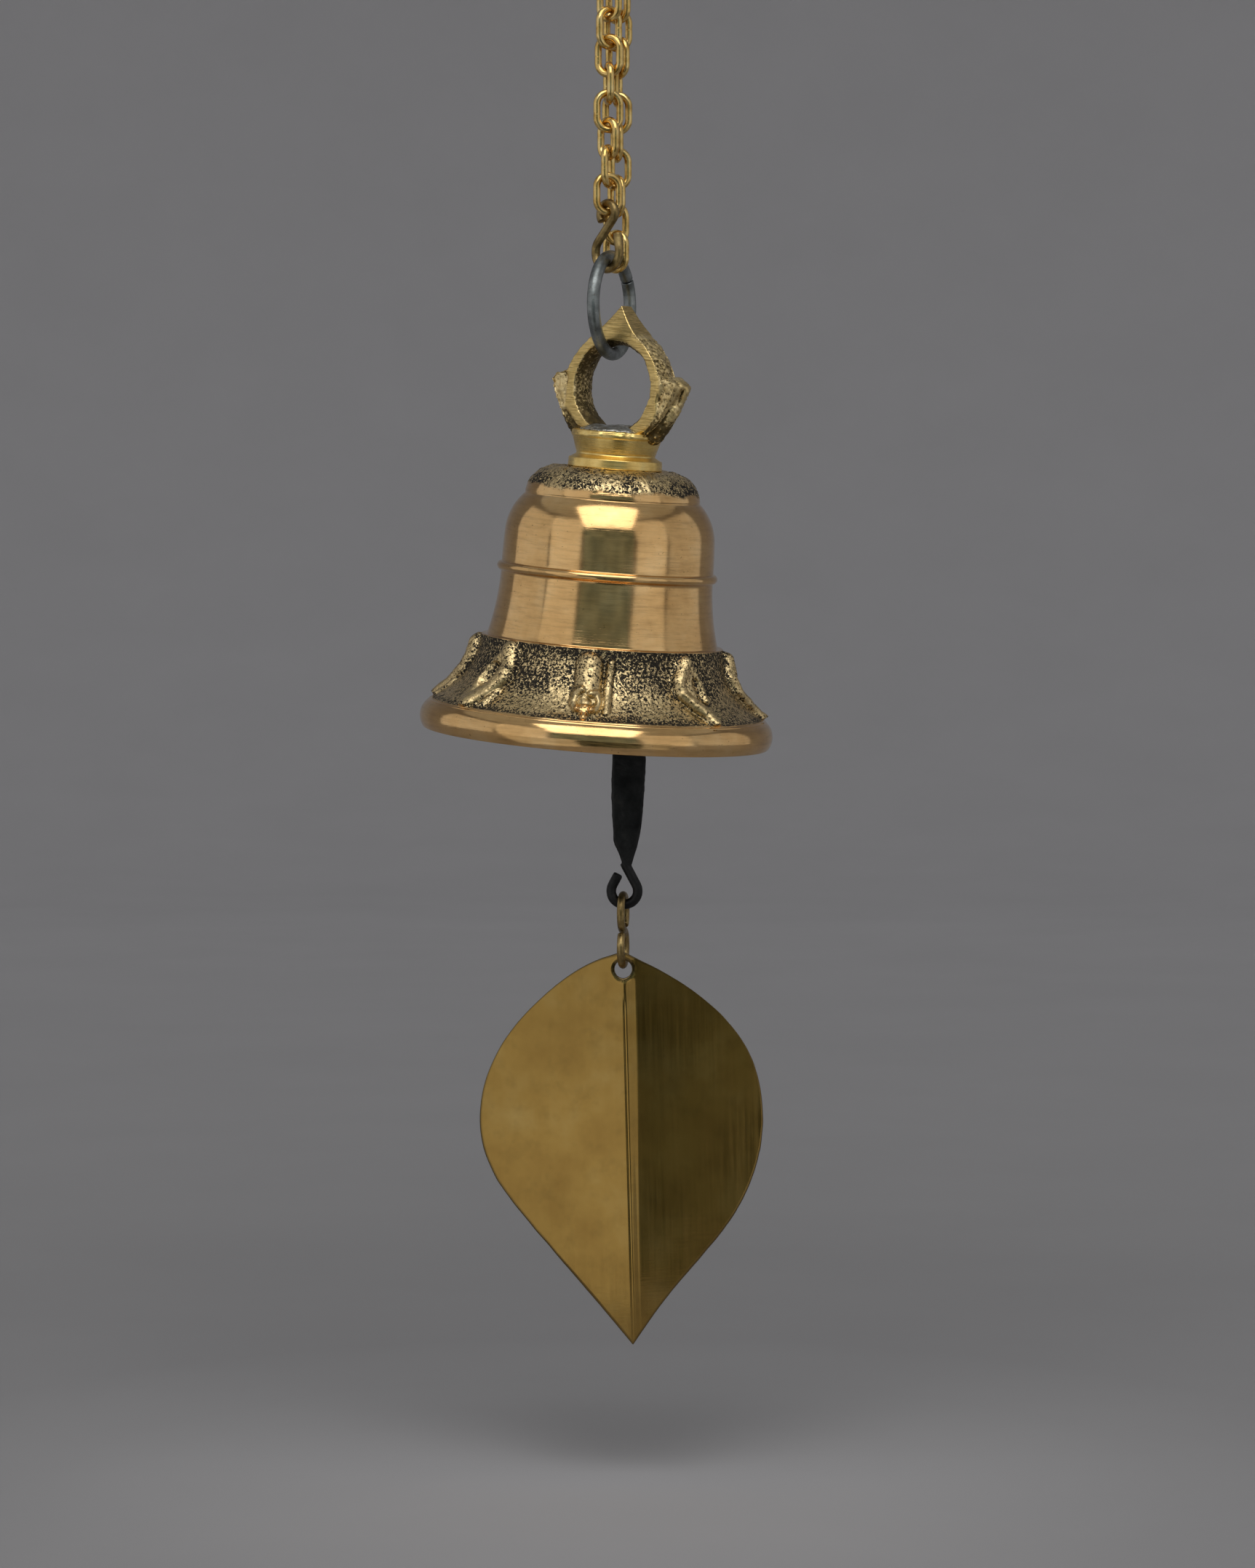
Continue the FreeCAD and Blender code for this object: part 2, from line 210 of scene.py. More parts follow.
def frames(path, closed=False):
    """Two directions square to the path at each point, carried along without twist."""
    ahead = np.roll(path, -1, axis=0) - np.roll(path, 1, axis=0)
    if not closed:
        ahead[0], ahead[-1] = path[1] - path[0], path[-1] - path[-2]
    ahead /= np.linalg.norm(ahead, axis=1)[:, None]
    side = np.cross(ahead[0], [0.31, 0.87, 0.38])
    sides = []
    for direction in ahead:
        side = side - direction * np.dot(side, direction)
        side /= np.linalg.norm(side)
        sides.append(side)
    sides = np.array(sides)
    if closed:
        last = sides[-1] - ahead[0] * np.dot(sides[-1], ahead[0])
        last /= np.linalg.norm(last)
        other = np.cross(ahead[0], sides[0])
        error = math.atan2(np.dot(last, other), np.dot(last, sides[0]))
        share = -error * np.arange(len(path)) / len(path)
        normals = np.cross(ahead, sides)
        sides = sides * np.cos(share)[:, None] + normals * np.sin(share)[:, None]
    return sides, np.cross(ahead, sides), ahead


def rod(name, path, wire, around=32, closed=False, round_end=0.25, dents=0.0, seed=1, swell=None):
    """Round wire along a path. Open ends are cut off with a worn edge."""
    sides, tops, ahead = frames(path, closed)
    angles = np.linspace(0, 2 * math.pi, around, endpoint=False)
    radius = np.full(len(path), wire / 2)
    if swell is not None:
        radius = radius * swell
    centres = path
    if not closed:
        steps = 6
        lift = round_end
        ends = []
        for index, sign in ((0, -1), (-1, 1)):
            t = np.linspace(0, math.pi / 2, steps)
            rim = radius[index] - lift * (1 - np.cos(t))
            out = path[index] + sign * ahead[index] * (lift * np.sin(t))[:, None]
            ends.append((rim, out))
        front_rim, front = ends[0][0][::-1], ends[0][1][::-1]
        centres = np.vstack([front[:-1], path, ends[1][1][1:]])
        radius = np.concatenate([front_rim[:-1], radius, ends[1][0][1:]])
        sides = np.vstack([np.repeat(sides[:1], steps - 1, 0), sides, np.repeat(sides[-1:], steps - 1, 0)])
        tops = np.vstack([np.repeat(tops[:1], steps - 1, 0), tops, np.repeat(tops[-1:], steps - 1, 0)])
    ring = (np.cos(angles)[None, :, None] * sides[:, None] + np.sin(angles)[None, :, None] * tops[:, None])
    points = centres[:, None] + ring * radius[:, None, None]
    flat = points.reshape(-1, 3)
    if dents:
        push = layered(flat, wire * 0.9, seed) * dents
        flat = flat + ring.reshape(-1, 3) * push[:, None]
    faces = grid_faces(len(centres), around, wrap_rows=closed, wrap_columns=True)
    faces = [face[::-1] for face in faces]
    if not closed:
        count = len(flat)
        flat = np.vstack([flat, centres[:1], centres[-1:]])
        last = (len(centres) - 1) * around
        for k in range(around):
            after = (k + 1) % around
            faces.append([count, k, after])
            faces.append([count + 1, last + after, last + k])
    return make_mesh(name, flat, faces)


def placed(path, matrix, shift):
    """Turn a path, then move it."""
    return path @ np.asarray(matrix).T + np.asarray(shift)


def stretch(*points, step=0.6):
    """Points along the arc through three points of a profile, or along a straight line through two."""
    p = [np.array(point, float) for point in points]
    if len(p) == 2:
        count = max(2, int(np.linalg.norm(p[1] - p[0]) / step) + 1)
        return p[0] + (p[1] - p[0]) * np.linspace(0, 1, count)[:, None]
    a, b, c = p
    lean = 2 * (a[0] * (b[1] - c[1]) + b[0] * (c[1] - a[1]) + c[0] * (a[1] - b[1]))
    sa, sb, sc = (float(q @ q) for q in p)
    middle = np.array([sa * (b[1] - c[1]) + sb * (c[1] - a[1]) + sc * (a[1] - b[1]),
                       sa * (c[0] - b[0]) + sb * (a[0] - c[0]) + sc * (b[0] - a[0])]) / lean
    radius = np.linalg.norm(a - middle)
    start, via, end = (math.atan2(*(q - middle)[::-1]) for q in p)
    full = 2 * math.pi
    span = (end - start) % full
    if (via - start) % full > span:
        span -= full
    count = max(3, int(abs(span) * radius / step) + 1)
    turn = start + span * np.linspace(0, 1, count)
    return middle + radius * np.stack([np.cos(turn), np.sin(turn)], axis=1)


def turned(start, *runs):
    """A profile from runs that follow on from each other; a run is its end, or a via point and its end, and a step."""
    rows = [np.array([start], float)]
    for *points, step in runs:
        rows.append(stretch(np.round(rows[-1][-1], 9), *points, step=step)[1:])
    return np.vstack(rows)


def body_of(node):
    for body, nodes in frame["record"]["behaviour"]["bodies"].items():
        if node in nodes:
            return body
    return None


def finish_piece(piece, node, material):
    """Put the detailed piece in the place of its CAD node."""
    piece.data.materials.clear()
    piece.data.materials.append(material)
    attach(piece, body_of(node))
    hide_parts(node)
    return piece


def recast(name, node, voxel, rounds, extra=()):
    """A CAD node's solid, with extra shapes grown into it, remeshed evenly; points, normals and faces in mm."""
    work = bmesh.new()
    for source in [frame["nodes"][node], *extra]:
        work.from_mesh(source.data)
    for source in extra:
        bpy.data.objects.remove(source)
    mesh = bpy.data.meshes.new(name + "_work")
    work.to_mesh(mesh)
    work.free()
    thing = add_object(name + "_work", mesh)
    remesh = thing.modifiers.new("remesh", "REMESH")
    remesh.mode = "VOXEL"
    remesh.voxel_size = voxel * MM
    ease = thing.modifiers.new("ease", "SMOOTH")
    ease.factor = 0.5
    ease.iterations = rounds
    bpy.context.view_layer.update()
    cast = bpy.data.meshes.new_from_object(thing.evaluated_get(bpy.context.evaluated_depsgraph_get()))
    count = len(cast.vertices)
    points = np.zeros(count * 3)
    normals = np.zeros(count * 3, np.float32)
    cast.vertices.foreach_get("co", points)
    cast.vertex_normals.foreach_get("vector", normals)
    faces = [list(face.vertices) for face in cast.polygons]
    bpy.data.objects.remove(thing)
    bpy.data.meshes.remove(cast)
    bpy.data.meshes.remove(mesh)
    return points.reshape(-1, 3) / MM, normals.reshape(-1, 3).astype(float), faces


# ---------------------------------------------------------------- materials

class Nodes:
    """A short way to write a material's nodes. A source is a node, for its first output, or (node, output)."""

    def __init__(self, name, shader="ShaderNodeBsdfPrincipled"):
        self.material = bpy.data.materials.new(name)
        self.material.use_nodes = True
        self.tree = self.material.node_tree
        self.tree.nodes.clear()
        self.shader = self.add(shader)
        self.feed(self.shader, self.add("ShaderNodeOutputMaterial").inputs["Surface"])
        self.place = (self.add("ShaderNodeTexCoord"), "Object")
        self.own_place = None

    def add(self, kind, **settings):
        node = self.tree.nodes.new(kind)
        for key, value in settings.items():
            setattr(node, key, value)
        return node

    def feed(self, source, entry):
        """Link a source to an input, or set the input to a number or a colour."""
        if isinstance(source, bpy.types.Node):
            source = (source, 0)
        if isinstance(source, tuple) and isinstance(source[0], bpy.types.Node):
            self.tree.links.new(source[0].outputs[source[1]], entry)
        elif source is not None:
            entry.default_value = tuple_colour(source) if entry.type == "RGBA" else source

    def noise(self, size, detail=4.0, roughness=0.55, stretch_by=None, distortion=0.0, own=False):
        """Noise whose features are about size millimetres across; own follows the piece's own axes."""
        node = self.add("ShaderNodeTexNoise")
        self.feed(1 / (size * MM), node.inputs["Scale"])
        self.feed(detail, node.inputs["Detail"])
        self.feed(roughness, node.inputs["Roughness"])
        self.feed(distortion, node.inputs["Distortion"])
        place = self.place
        if own:
            self.own_place = self.own_place or (self.mark("own")[0], "Vector")
            place = self.own_place
        if stretch_by is not None:
            mapping = self.add("ShaderNodeMapping")
            mapping.inputs["Scale"].default_value = stretch_by
            self.feed(place, mapping.inputs["Vector"])
            place = mapping
        self.feed(place, node.inputs["Vector"])
        return node

    def ramp(self, source, *stops):
        """A ramp through (position, colour) stops."""
        node = self.add("ShaderNodeValToRGB")
        elements = node.color_ramp.elements
        while len(elements) > 1:
            elements.remove(elements[0])
        elements[0].position = stops[0][0]
        elements[0].color = tuple_colour(stops[0][1])
        for position, colour in stops[1:]:
            elements.new(position).color = tuple_colour(colour)
        self.feed(source, node.inputs["Fac"])
        return node

    def mark(self, name):
        """A number stored on the mesh's points."""
        return (self.add("ShaderNodeAttribute", attribute_name=name), "Fac")

    def speckled(self, mark, grain, contrast):
        """A mark broken up by grain."""
        return self.math("ADD", self.mark(mark), self.math("MULTIPLY", self.math("SUBTRACT", grain, 0.5), contrast))

    def math(self, kind, a, b):
        node = self.add("ShaderNodeMath", operation=kind)
        self.feed(a, node.inputs[0])
        self.feed(b, node.inputs[1])
        return node

    def mix(self, factor, a, b, kind="MIX"):
        node = self.add("ShaderNodeMix", data_type="RGBA", blend_type=kind)
        for index, source in ((0, factor), (6, a), (7, b)):
            self.feed(source, node.inputs[index])
        return (node, 2)

    def bump(self, height, strength, depth, normal=None):
        node = self.add("ShaderNodeBump")
        for entry, source in (("Strength", strength), ("Distance", depth * MM), ("Height", height), ("Normal", normal)):
            self.feed(source, node.inputs[entry])
        return node

    def surface(self, colour, roughness, bump, metallic=1.0):
        for entry, source in (("Base Color", colour), ("Roughness", roughness), ("Metallic", metallic), ("Normal", bump)):
            self.feed(source, self.shader.inputs[entry])
        return self.material


def tuple_colour(colour):
    if isinstance(colour, (int, float)):
        return (colour, colour, colour, 1)
    return (*colour, 1)


def plain_metal(name, cloud, colours, fine, roughs, grit, strength, depth, metallic=1.0):
    """Metal with clouds of colour, uneven roughness and fine grit."""
    m = Nodes(name)
    bump = m.bump(m.noise(*grit), strength, depth)
    return m.surface(m.ramp(m.noise(*cloud), *colours), m.ramp(m.noise(*fine), *roughs), bump, metallic)


def bright_brass():
    """Polished brass wire of the chain, a little tarnished between."""
    colours = [(0.30, (0.52, 0.32, 0.09)), (0.50, (0.78, 0.53, 0.18)), (0.72, (0.90, 0.68, 0.30))]
    return plain_metal("chain_brass_detail", (2.6, 3), colours, (0.35, 2), [(0.25, 0.14), (0.75, 0.30)],
                       (0.5, 3), 0.25, 0.05)


def dull_brass():
    """Tarnished brass wire of the S-hook and the leaf link."""
    colours = [(0.28, (0.12, 0.085, 0.035)), (0.5, (0.30, 0.21, 0.085)), (0.72, (0.52, 0.38, 0.16))]
    return plain_metal("hook_brass_detail", (3.2, 4, 0.65), colours, (0.5, 3), [(0.3, 0.26), (0.75, 0.5)],
                       (0.6, 4), 0.5, 0.06)


def forged_iron():
    """Black forge scale, slightly shiny on the high places."""
    colours = [(0.3, (0.014, 0.014, 0.014)), (0.6, (0.036, 0.035, 0.035)), (0.8, (0.075, 0.068, 0.060))]
    fine = (0.8, 4, 0.65)
    return plain_metal("clapper_iron_detail", (5.0, 5, 0.6), colours, fine, [(0.3, 0.34), (0.7, 0.62)],
                       fine, 0.6, 0.12, metallic=0.85)


def braze_silver():
    """Uneven silvery solder."""
    colours = [(0.35, (0.22, 0.20, 0.16)), (0.6, (0.50, 0.50, 0.47)), (0.75, (0.70, 0.70, 0.68))]
    cloud = (1.5, 4, 0.6)
    return plain_metal("braze_silver_detail", cloud, colours, cloud, [(0.3, 0.5), (0.7, 0.28)], (0.6, 4), 0.6, 0.15)


def ring_iron():
    """Dull zinc-grey wire with small brown specks."""
    m = Nodes("ring_iron_detail")
    speck = m.noise(0.7, 3, 0.7)
    grey = m.ramp(m.noise(4.0, 4, 0.6), (0.3, (0.13, 0.14, 0.135)), (0.55, (0.25, 0.27, 0.265)),
                  (0.75, (0.38, 0.40, 0.39)))
    rust = m.math("MULTIPLY", m.ramp(speck, (0.60, 0.0), (0.72, 1.0)), 0.55)
    colour = m.mix(rust, grey, (0.10, 0.065, 0.035))
    rough = m.ramp(speck, (0.3, 0.30), (0.7, 0.52))
    return m.surface(colour, rough, m.bump(m.noise(0.8, 4), 0.45, 0.08))


def cast_bronze():
    """Rough cast metal: dark olive hollows, worn golden grain, filed faces with file marks."""
    m = Nodes("crown_bronze_detail")
    cloud = m.noise(2.4, 4, 0.6)
    grain = m.noise(0.55, 5, 0.72)
    marks = m.noise(1.0, 3, 0.6, stretch_by=(0.25, 0.25, 3.6), own=True)
    dark = m.ramp(cloud, (0.3, (0.060, 0.045, 0.020)), (0.7, (0.21, 0.15, 0.065)))
    light = m.ramp(cloud, (0.3, (0.58, 0.42, 0.17)), (0.7, (0.96, 0.76, 0.40)))
    share = m.ramp(m.speckled("worn", grain, 1.2), (0.32, 0.0), (0.52, 1.0))
    gold = m.ramp(marks, (0.35, (0.44, 0.30, 0.10)), (0.65, (0.90, 0.66, 0.26)))
    clean = m.math("MULTIPLY", m.mark("filed"), m.ramp(grain, (0.32, 0.25), (0.45, 1.0)))
    colour = m.mix(clean, m.mix(share, dark, light), gold)
    rough = m.mix(clean, m.mix(share, 0.60, 0.32), 0.30)
    bump = m.bump(m.math("MULTIPLY", grain, m.math("SUBTRACT", 1.0, clean)), 0.75, 0.14)
    bump = m.bump(m.math("MULTIPLY", marks, clean), 0.8, 0.10, bump)
    return m.surface(colour, rough, bump)


def neck_brass():
    """Yellow turned brass with fine tool lines."""
    m = Nodes("neck_brass_detail")
    lines = m.noise(1.0, 2, 0.5, stretch_by=(0.04, 0.04, 5.0), own=True)
    colour = m.ramp(m.noise(5.0, 4, 0.6), (0.3, (0.66, 0.44, 0.13)), (0.55, (0.92, 0.66, 0.23)),
                    (0.75, (0.97, 0.77, 0.34)))
    return m.surface(colour, m.ramp(lines, (0.3, 0.20), (0.7, 0.38)), m.bump(lines, 0.5, 0.05))


def bell_bronze():
    """Turned and polished bronze, with a dark cast band whose raised parts are rubbed bright."""
    m = Nodes("bell_bronze_detail")
    cast, inner = m.mark("cast"), m.mark("inner")
    cloud = m.noise(11.0, 4, 0.6)
    lines = m.noise(1.0, 3, 0.6, stretch_by=(0.03, 0.03, 4.2), own=True)
    streak = m.noise(1.0, 4, 0.7, stretch_by=(0.10, 0.10, 1.1), own=True)
    scratch = m.noise(1.0, 2, 0.5, stretch_by=(0.22, 0.22, 2.6), distortion=1.5)
    polished = m.ramp(cloud, (0.25, (0.66, 0.39, 0.15)), (0.5, (0.80, 0.50, 0.21)), (0.75, (0.88, 0.60, 0.29)))
    polished = m.mix(1.0, polished, m.ramp(streak, (0.30, 0.80), (0.50, 1.0), (0.72, 1.08)), "MULTIPLY")
    pits = m.math("MULTIPLY", m.ramp(m.noise(0.9, 2, 0.5), (0.70, 0.0), (0.76, 1.0)), 0.6)
    polished = m.mix(pits, polished, (0.16, 0.10, 0.04))
    grain = m.noise(0.58, 3, 0.6, distortion=0.8)
    patina = m.ramp(grain, (0.3, (0.010, 0.008, 0.006)), (0.6, (0.035, 0.028, 0.018)), (0.8, (0.10, 0.08, 0.045)))
    rubbed = m.ramp(grain, (0.3, (0.40, 0.28, 0.12)), (0.7, (0.88, 0.68, 0.36)))
    share = m.ramp(m.speckled("worn", grain, 1.9), (0.46, 0.0), (0.56, 1.0))
    outside = m.mix(cast, polished, m.mix(share, patina, rubbed))
    colour = m.mix(inner, outside, m.ramp(cloud, (0.3, (0.05, 0.035, 0.02)), (0.7, (0.16, 0.11, 0.06))))
    smooth_rough = m.ramp(lines, (0.25, 0.06), (0.75, 0.17))
    rough = m.mix(m.math("MAXIMUM", cast, inner), smooth_rough, m.mix(share, 0.62, 0.30))
    tool_marks = m.bump(lines, 0.42, 0.03, m.bump(scratch, 0.25, 0.03))
    gritty = m.bump(m.math("MULTIPLY", m.noise(0.4, 3, 0.6), cast), 0.6, 0.16, tool_marks)
    matt = m.math("MULTIPLY", cast, m.math("MULTIPLY", m.math("SUBTRACT", 1.0, share), 0.35))
    return m.surface(colour, rough, gritty, m.math("SUBTRACT", 1.0, matt))


def leaf_brass():
    """Brushed sheet brass with tarnish, scratches and darker edges."""
    m = Nodes("leaf_brass_detail")
    brushed = m.noise(1.0, 3, 0.6, stretch_by=(0.9, 0.9, 0.035), own=True)
    cross = m.noise(1.0, 3, 0.6, stretch_by=(0.05, 0.9, 1.4), own=True)
    colour = m.ramp(m.noise(18.0, 4, 0.6), (0.25, (0.40, 0.235, 0.062)), (0.5, (0.50, 0.31, 0.085)),
                    (0.75, (0.58, 0.39, 0.13)))
    tarnish = m.ramp(m.noise(5.0, 4, 0.65), (0.50, 0.0), (0.80, 0.4))
    tinted = m.mix(tarnish, colour, (0.27, 0.17, 0.05))
    rim = m.mix(m.mark("edge"), tinted, (0.14, 0.10, 0.045))
    bump = m.bump(brushed, 0.30, 0.04, m.bump(cross, 0.18, 0.03))
    return m.surface(rim, m.ramp(brushed, (0.25, 0.09), (0.75, 0.20)), bump)


# ---------------------------------------------------------------- chain, hook and ring

def node_points(node):
    mesh = frame["nodes"][node].data
    points = np.zeros(len(mesh.vertices) * 3)
    mesh.vertices.foreach_get("co", points)
    return points.reshape(-1, 3) / MM


def box_mm(node):
    low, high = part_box(node)
    return np.array(low) / MM, np.array(high) / MM


def make_link(node, number, material):
    """An oval wire link in its CAD node's place, with the butt joint of its ends on one side."""
    points = node_points(node)
    low, high = box_mm(node)
    centre = (low + high) / 2
    spread = np.linalg.eigh(np.cov((points - centre).T))[1]
    across, along, face = spread[:, 1], spread[:, 2], spread[:, 0]
    if along[2] < 0 or (abs(along[2]) < 0.1 and along[1] < 0):
        along = -along
    dents = LINK_DENTS
    bend = (LINK_WIDTH - CHAIN_WIRE) / 2 - dents
    half = (LINK_LENGTH - CHAIN_WIRE) / 2 - bend - dents
    oval = np.vstack([arc_points((0, half), bend, 0, 180), arc_points((0, -half), bend, 180, 360)])
    oval = even(np.vstack([oval, oval[:1]]), 0.22)[:-1]
    side = 1 if number % 2 else -1
    seam = np.array([side * bend, 0, (0.4 - 0.2 * (number % 5)) * half])
    distance = np.linalg.norm(oval - seam, axis=1)
    swell = 1 - 0.075 * np.exp(-(distance / 0.17) ** 2)
    basis = np.stack([across, face, along], axis=1)
    path = placed(oval, basis, centre)
    piece = rod(node + "_wire", path, CHAIN_WIRE, around=28, closed=True, dents=dents, seed=40 + number, swell=swell)
    return finish_piece(piece, node, material)


def make_chain():
    """Both strands and the top link."""
    material = bright_brass()
    nodes = sorted(name for name in frame["nodes"] if name.startswith("chain_")) + ["top_link"]
    for number, node in enumerate(nodes):
        make_link(node, number, material)


def make_hook(material):
    """S-hook bent from wire, both ends cut off square."""
    turn = np.radians(RING_TURN)
    ring_centre = joint_at("ring_swing")
    anchor = ring_centre + HOOK_ALONG_RING * np.array([np.cos(turn), np.sin(turn), 0])
    anchor[2] = 0
    low_corner, high_corner = box_mm("chain_front_08")
    above = (low_corner + high_corner) / 2
    plane = np.array([np.cos(np.radians(HOOK_TURN)), np.sin(np.radians(HOOK_TURN)), 0])
    aside = (above - anchor) @ plane
    seat = low_corner[2] + CAD_CHAIN_WIRE / 2
    high = (aside, seat + (CAD_CHAIN_WIRE + HOOK_WIRE) / 2 + HOOK_TOP_GAP - HOOK_TOP_RADIUS)
    ring_wire_z = ring_centre[2] + math.sqrt(RING_RADIUS ** 2 - HOOK_ALONG_RING ** 2)
    low = (0, ring_wire_z - (RING_WIRE + HOOK_WIRE) / 2 - HOOK_FOOT_GAP + HOOK_FOOT_RADIUS)
    top_bow = arc_points(high, HOOK_TOP_RADIUS, 215, -12)
    foot_bow = arc_points(low, HOOK_FOOT_RADIUS, 152, 382)
    tip = foot_bow[-1:] + [[-0.4, 0, 2.6]]
    path = softened(even(np.vstack([top_bow, foot_bow, tip]), 0.25), 8)
    path = placed(path, turn_matrix((0, 0, 1), HOOK_TURN), anchor)
    piece = rod("s_hook_wire", path, HOOK_WIRE, around=36, round_end=0.22, dents=0.018, seed=71)
    finish_piece(piece, "s_hook", material)


def make_ring():
    """Iron ring of bent wire whose ends meet with a small gap."""
    half_gap = math.degrees(RING_GAP / 2 / RING_RADIUS)
    path = arc_points((0, 0), RING_RADIUS, RING_GAP_ANGLE + half_gap + 1.2, RING_GAP_ANGLE + 358.8 - half_gap, 1.0)
    path = placed(path, turn_matrix((0, 0, 1), RING_TURN), joint_at("ring_swing"))
    wire = RING_WIRE - 3 * RING_DENTS
    piece = rod("hanging_ring_wire", path, wire, around=48, round_end=0.26, dents=RING_DENTS, seed=83)
    finish_piece(piece, "hanging_ring", ring_iron())


# ---------------------------------------------------------------- bell

def in_place(points):
    """Carry points from the bell's own frame to where the bell hangs."""
    reach = CROWN_HOLE_RADIUS - RING_WIRE / 2 - CONTACT_GAP
    angle = np.radians(90 + CONTACT_ANGLE)
    contact = np.array([reach * np.cos(angle), 0, CROWN_HOLE_Z + reach * np.sin(angle)])
    contact = turn_matrix((0, 0, 1), CROWN_TURN) @ contact
    hinge = np.radians(CROWN_TURN + 90)
    lean = turn_matrix((math.cos(hinge), math.sin(hinge), 0), BELL_TILT)
    return (np.asarray(points) - contact) @ lean.T + joint_at("bell_swing")


def own_frame(points):
    """Carry points back to the bell's own frame."""
    origin = in_place(np.zeros((1, 3)))[0]
    axes = in_place(np.eye(3)) - origin
    return (points - origin) @ axes.T


def ridge(s, z, path, width, height):
    """A rounded raised stroke along a path on the band, as heights at (s, z)."""
    best = np.zeros(len(s))
    for (s0, z0), (s1, z1) in zip(path, path[1:] or path):
        ds, dz = s1 - s0, z1 - z0
        length = ds * ds + dz * dz
        t = np.clip(((s - s0) * ds + (z - z0) * dz) / length, 0, 1) if length > 0 else 0
        distance = np.hypot(s - s0 - t * ds, z - z0 - t * dz) / width
        best = np.maximum(best, np.maximum(1 - distance ** 2, 0) ** 0.6)
    return best * height


def bud_figure(s, z):
    """A standing bud over two curls and a small bowl."""
    height = ridge(s, z, [(-0.2, 20.6), (0, 15.5)], 3.5, 3.0)
    height = np.maximum(height, ridge(s, z, [(-0.3, 14), (0.1, 11.5)], 3.9, 1.6))
    curls = np.maximum(ridge(s, z, [(-1.4, 14.6), (-2.8, 13.2), (-3.3, 11.6), (-2.2, 10.2)], 1.15, 1.2),
                       ridge(s, z, [(1.2, 13.6), (2.6, 13.8), (3.5, 12.2), (3.0, 10.6), (1.9, 10.1)], 1.0, 1.2))
    knob = ridge(s, z, [(-0.6, 12.2), (0.1, 11.6)], 1.3, 1.1)
    bowl = np.maximum(ridge(s, z, [(-1.5, 10.1), (1.5, 10.1)], 1.0, 1.4), ridge(s, z, [(0, 9.6), (0, 8.4)], 1.0, 1.2))
    height = height + curls + knob + bowl
    return np.maximum(height, ridge(s, z, [(5.2, 21.5), (4.9, 16), (5.3, 10)], 1.2, 1.5)), bowl


def flame_figure(s, z):
    """A leaning flame with a hollow in its side."""
    height = ridge(s, z, [(1.4, 19.0), (0.2, 15.5), (-1.4, 12.0)], 4.2, 1.5)
    height = np.maximum(height, ridge(s, z, [(2.0, 22.2), (3.4, 18.6), (3.3, 15.6), (1.2, 12.6), (-2.0, 9.6)], 2.6, 2.7))
    height = np.maximum(height, ridge(s, z, [(0.8, 21.0), (-2.2, 17.4), (-3.7, 14.0), (-3.7, 9.4)], 2.0, 2.1))
    height = height - ridge(s, z, [(-0.6, 17.2), (-1.4, 14.6)], 2.0, 1.3)
    return np.maximum(height, ridge(s, z, [(3.6, 11.8), (2.8, 9.2)], 1.4, 1.3)), 0 * s


def tendril_figure(s, z):
    """A curling ridge in front of a pointed leaf."""
    height = ridge(s, z, [(0.6, 20.0), (1.1, 15.6)], 3.7, 1.9)
    curl = ridge(s, z, [(0.4, 22.4), (-0.9, 20.0), (-2.7, 17.6), (-2.5, 14.8), (-0.3, 12.4), (2.2, 10.6),
                        (3.3, 8.6)], 1.9, 2.8)
    edge = ridge(s, z, [(1.6, 21.4), (3.9, 17.2), (4.6, 13.2)], 1.1, 1.9)
    hollow = ridge(s, z, [(2.0, 17.4), (2.4, 14.4)], 1.3, 0.9)
    return np.maximum(np.maximum(height, curl), edge) - hollow, 0 * s


FIGURES = {0: bud_figure, 1: tendril_figure, 2: tendril_figure, 3: bud_figure,
           4: flame_figure, 5: tendril_figure, 6: flame_figure, 7: flame_figure}


def relief(angle, z, radius):
    """Height of the cast figures at points of the band; the first figure faces the front."""
    height, polish = np.zeros(len(z)), np.zeros(len(z))
    step = 360 / FIGURE_COUNT
    for number, figure in FIGURES.items():
        middle = FIGURE_TURN + step * number
        away = (np.degrees(angle) + 90 - middle + 180) % 360 - 180
        near = (np.abs(away) < step / 2) & (z > 7.0) & (z < 24.6)
        s = np.radians(away[near]) * radius[near]
        rise, bowl = figure(s, z[near])
        height[near] = rise
        polish[near] = smooth_step(0.3, 0.8, bowl)
    return height, polish


def lathe(profile, around):
    """Points and faces of a closed outline, its ends on the axis, turned about Z."""
    angles = np.linspace(0, 2 * math.pi, around, endpoint=False)
    radius, z = profile[:, 0], profile[:, 1]
    rows = slice(1, len(profile) - 1)
    x = radius[rows, None] * np.cos(angles)
    y = radius[rows, None] * np.sin(angles)
    body = np.stack([x, y, np.repeat(z[rows, None], around, 1)], axis=2).reshape(-1, 3)
    count = len(profile) - 2
    faces = grid_faces(count, around, wrap_columns=True)
    points = np.vstack([body, [[0, 0, z[0]], [0, 0, z[-1]]]])
    top, end = len(body), len(body) + 1
    last = (count - 1) * around
    for k in range(around):
        after = (k + 1) % around
        faces.append([top, after, k])
        faces.append([end, last + k, last + after])
    return points, faces, np.tile(angles, count), count


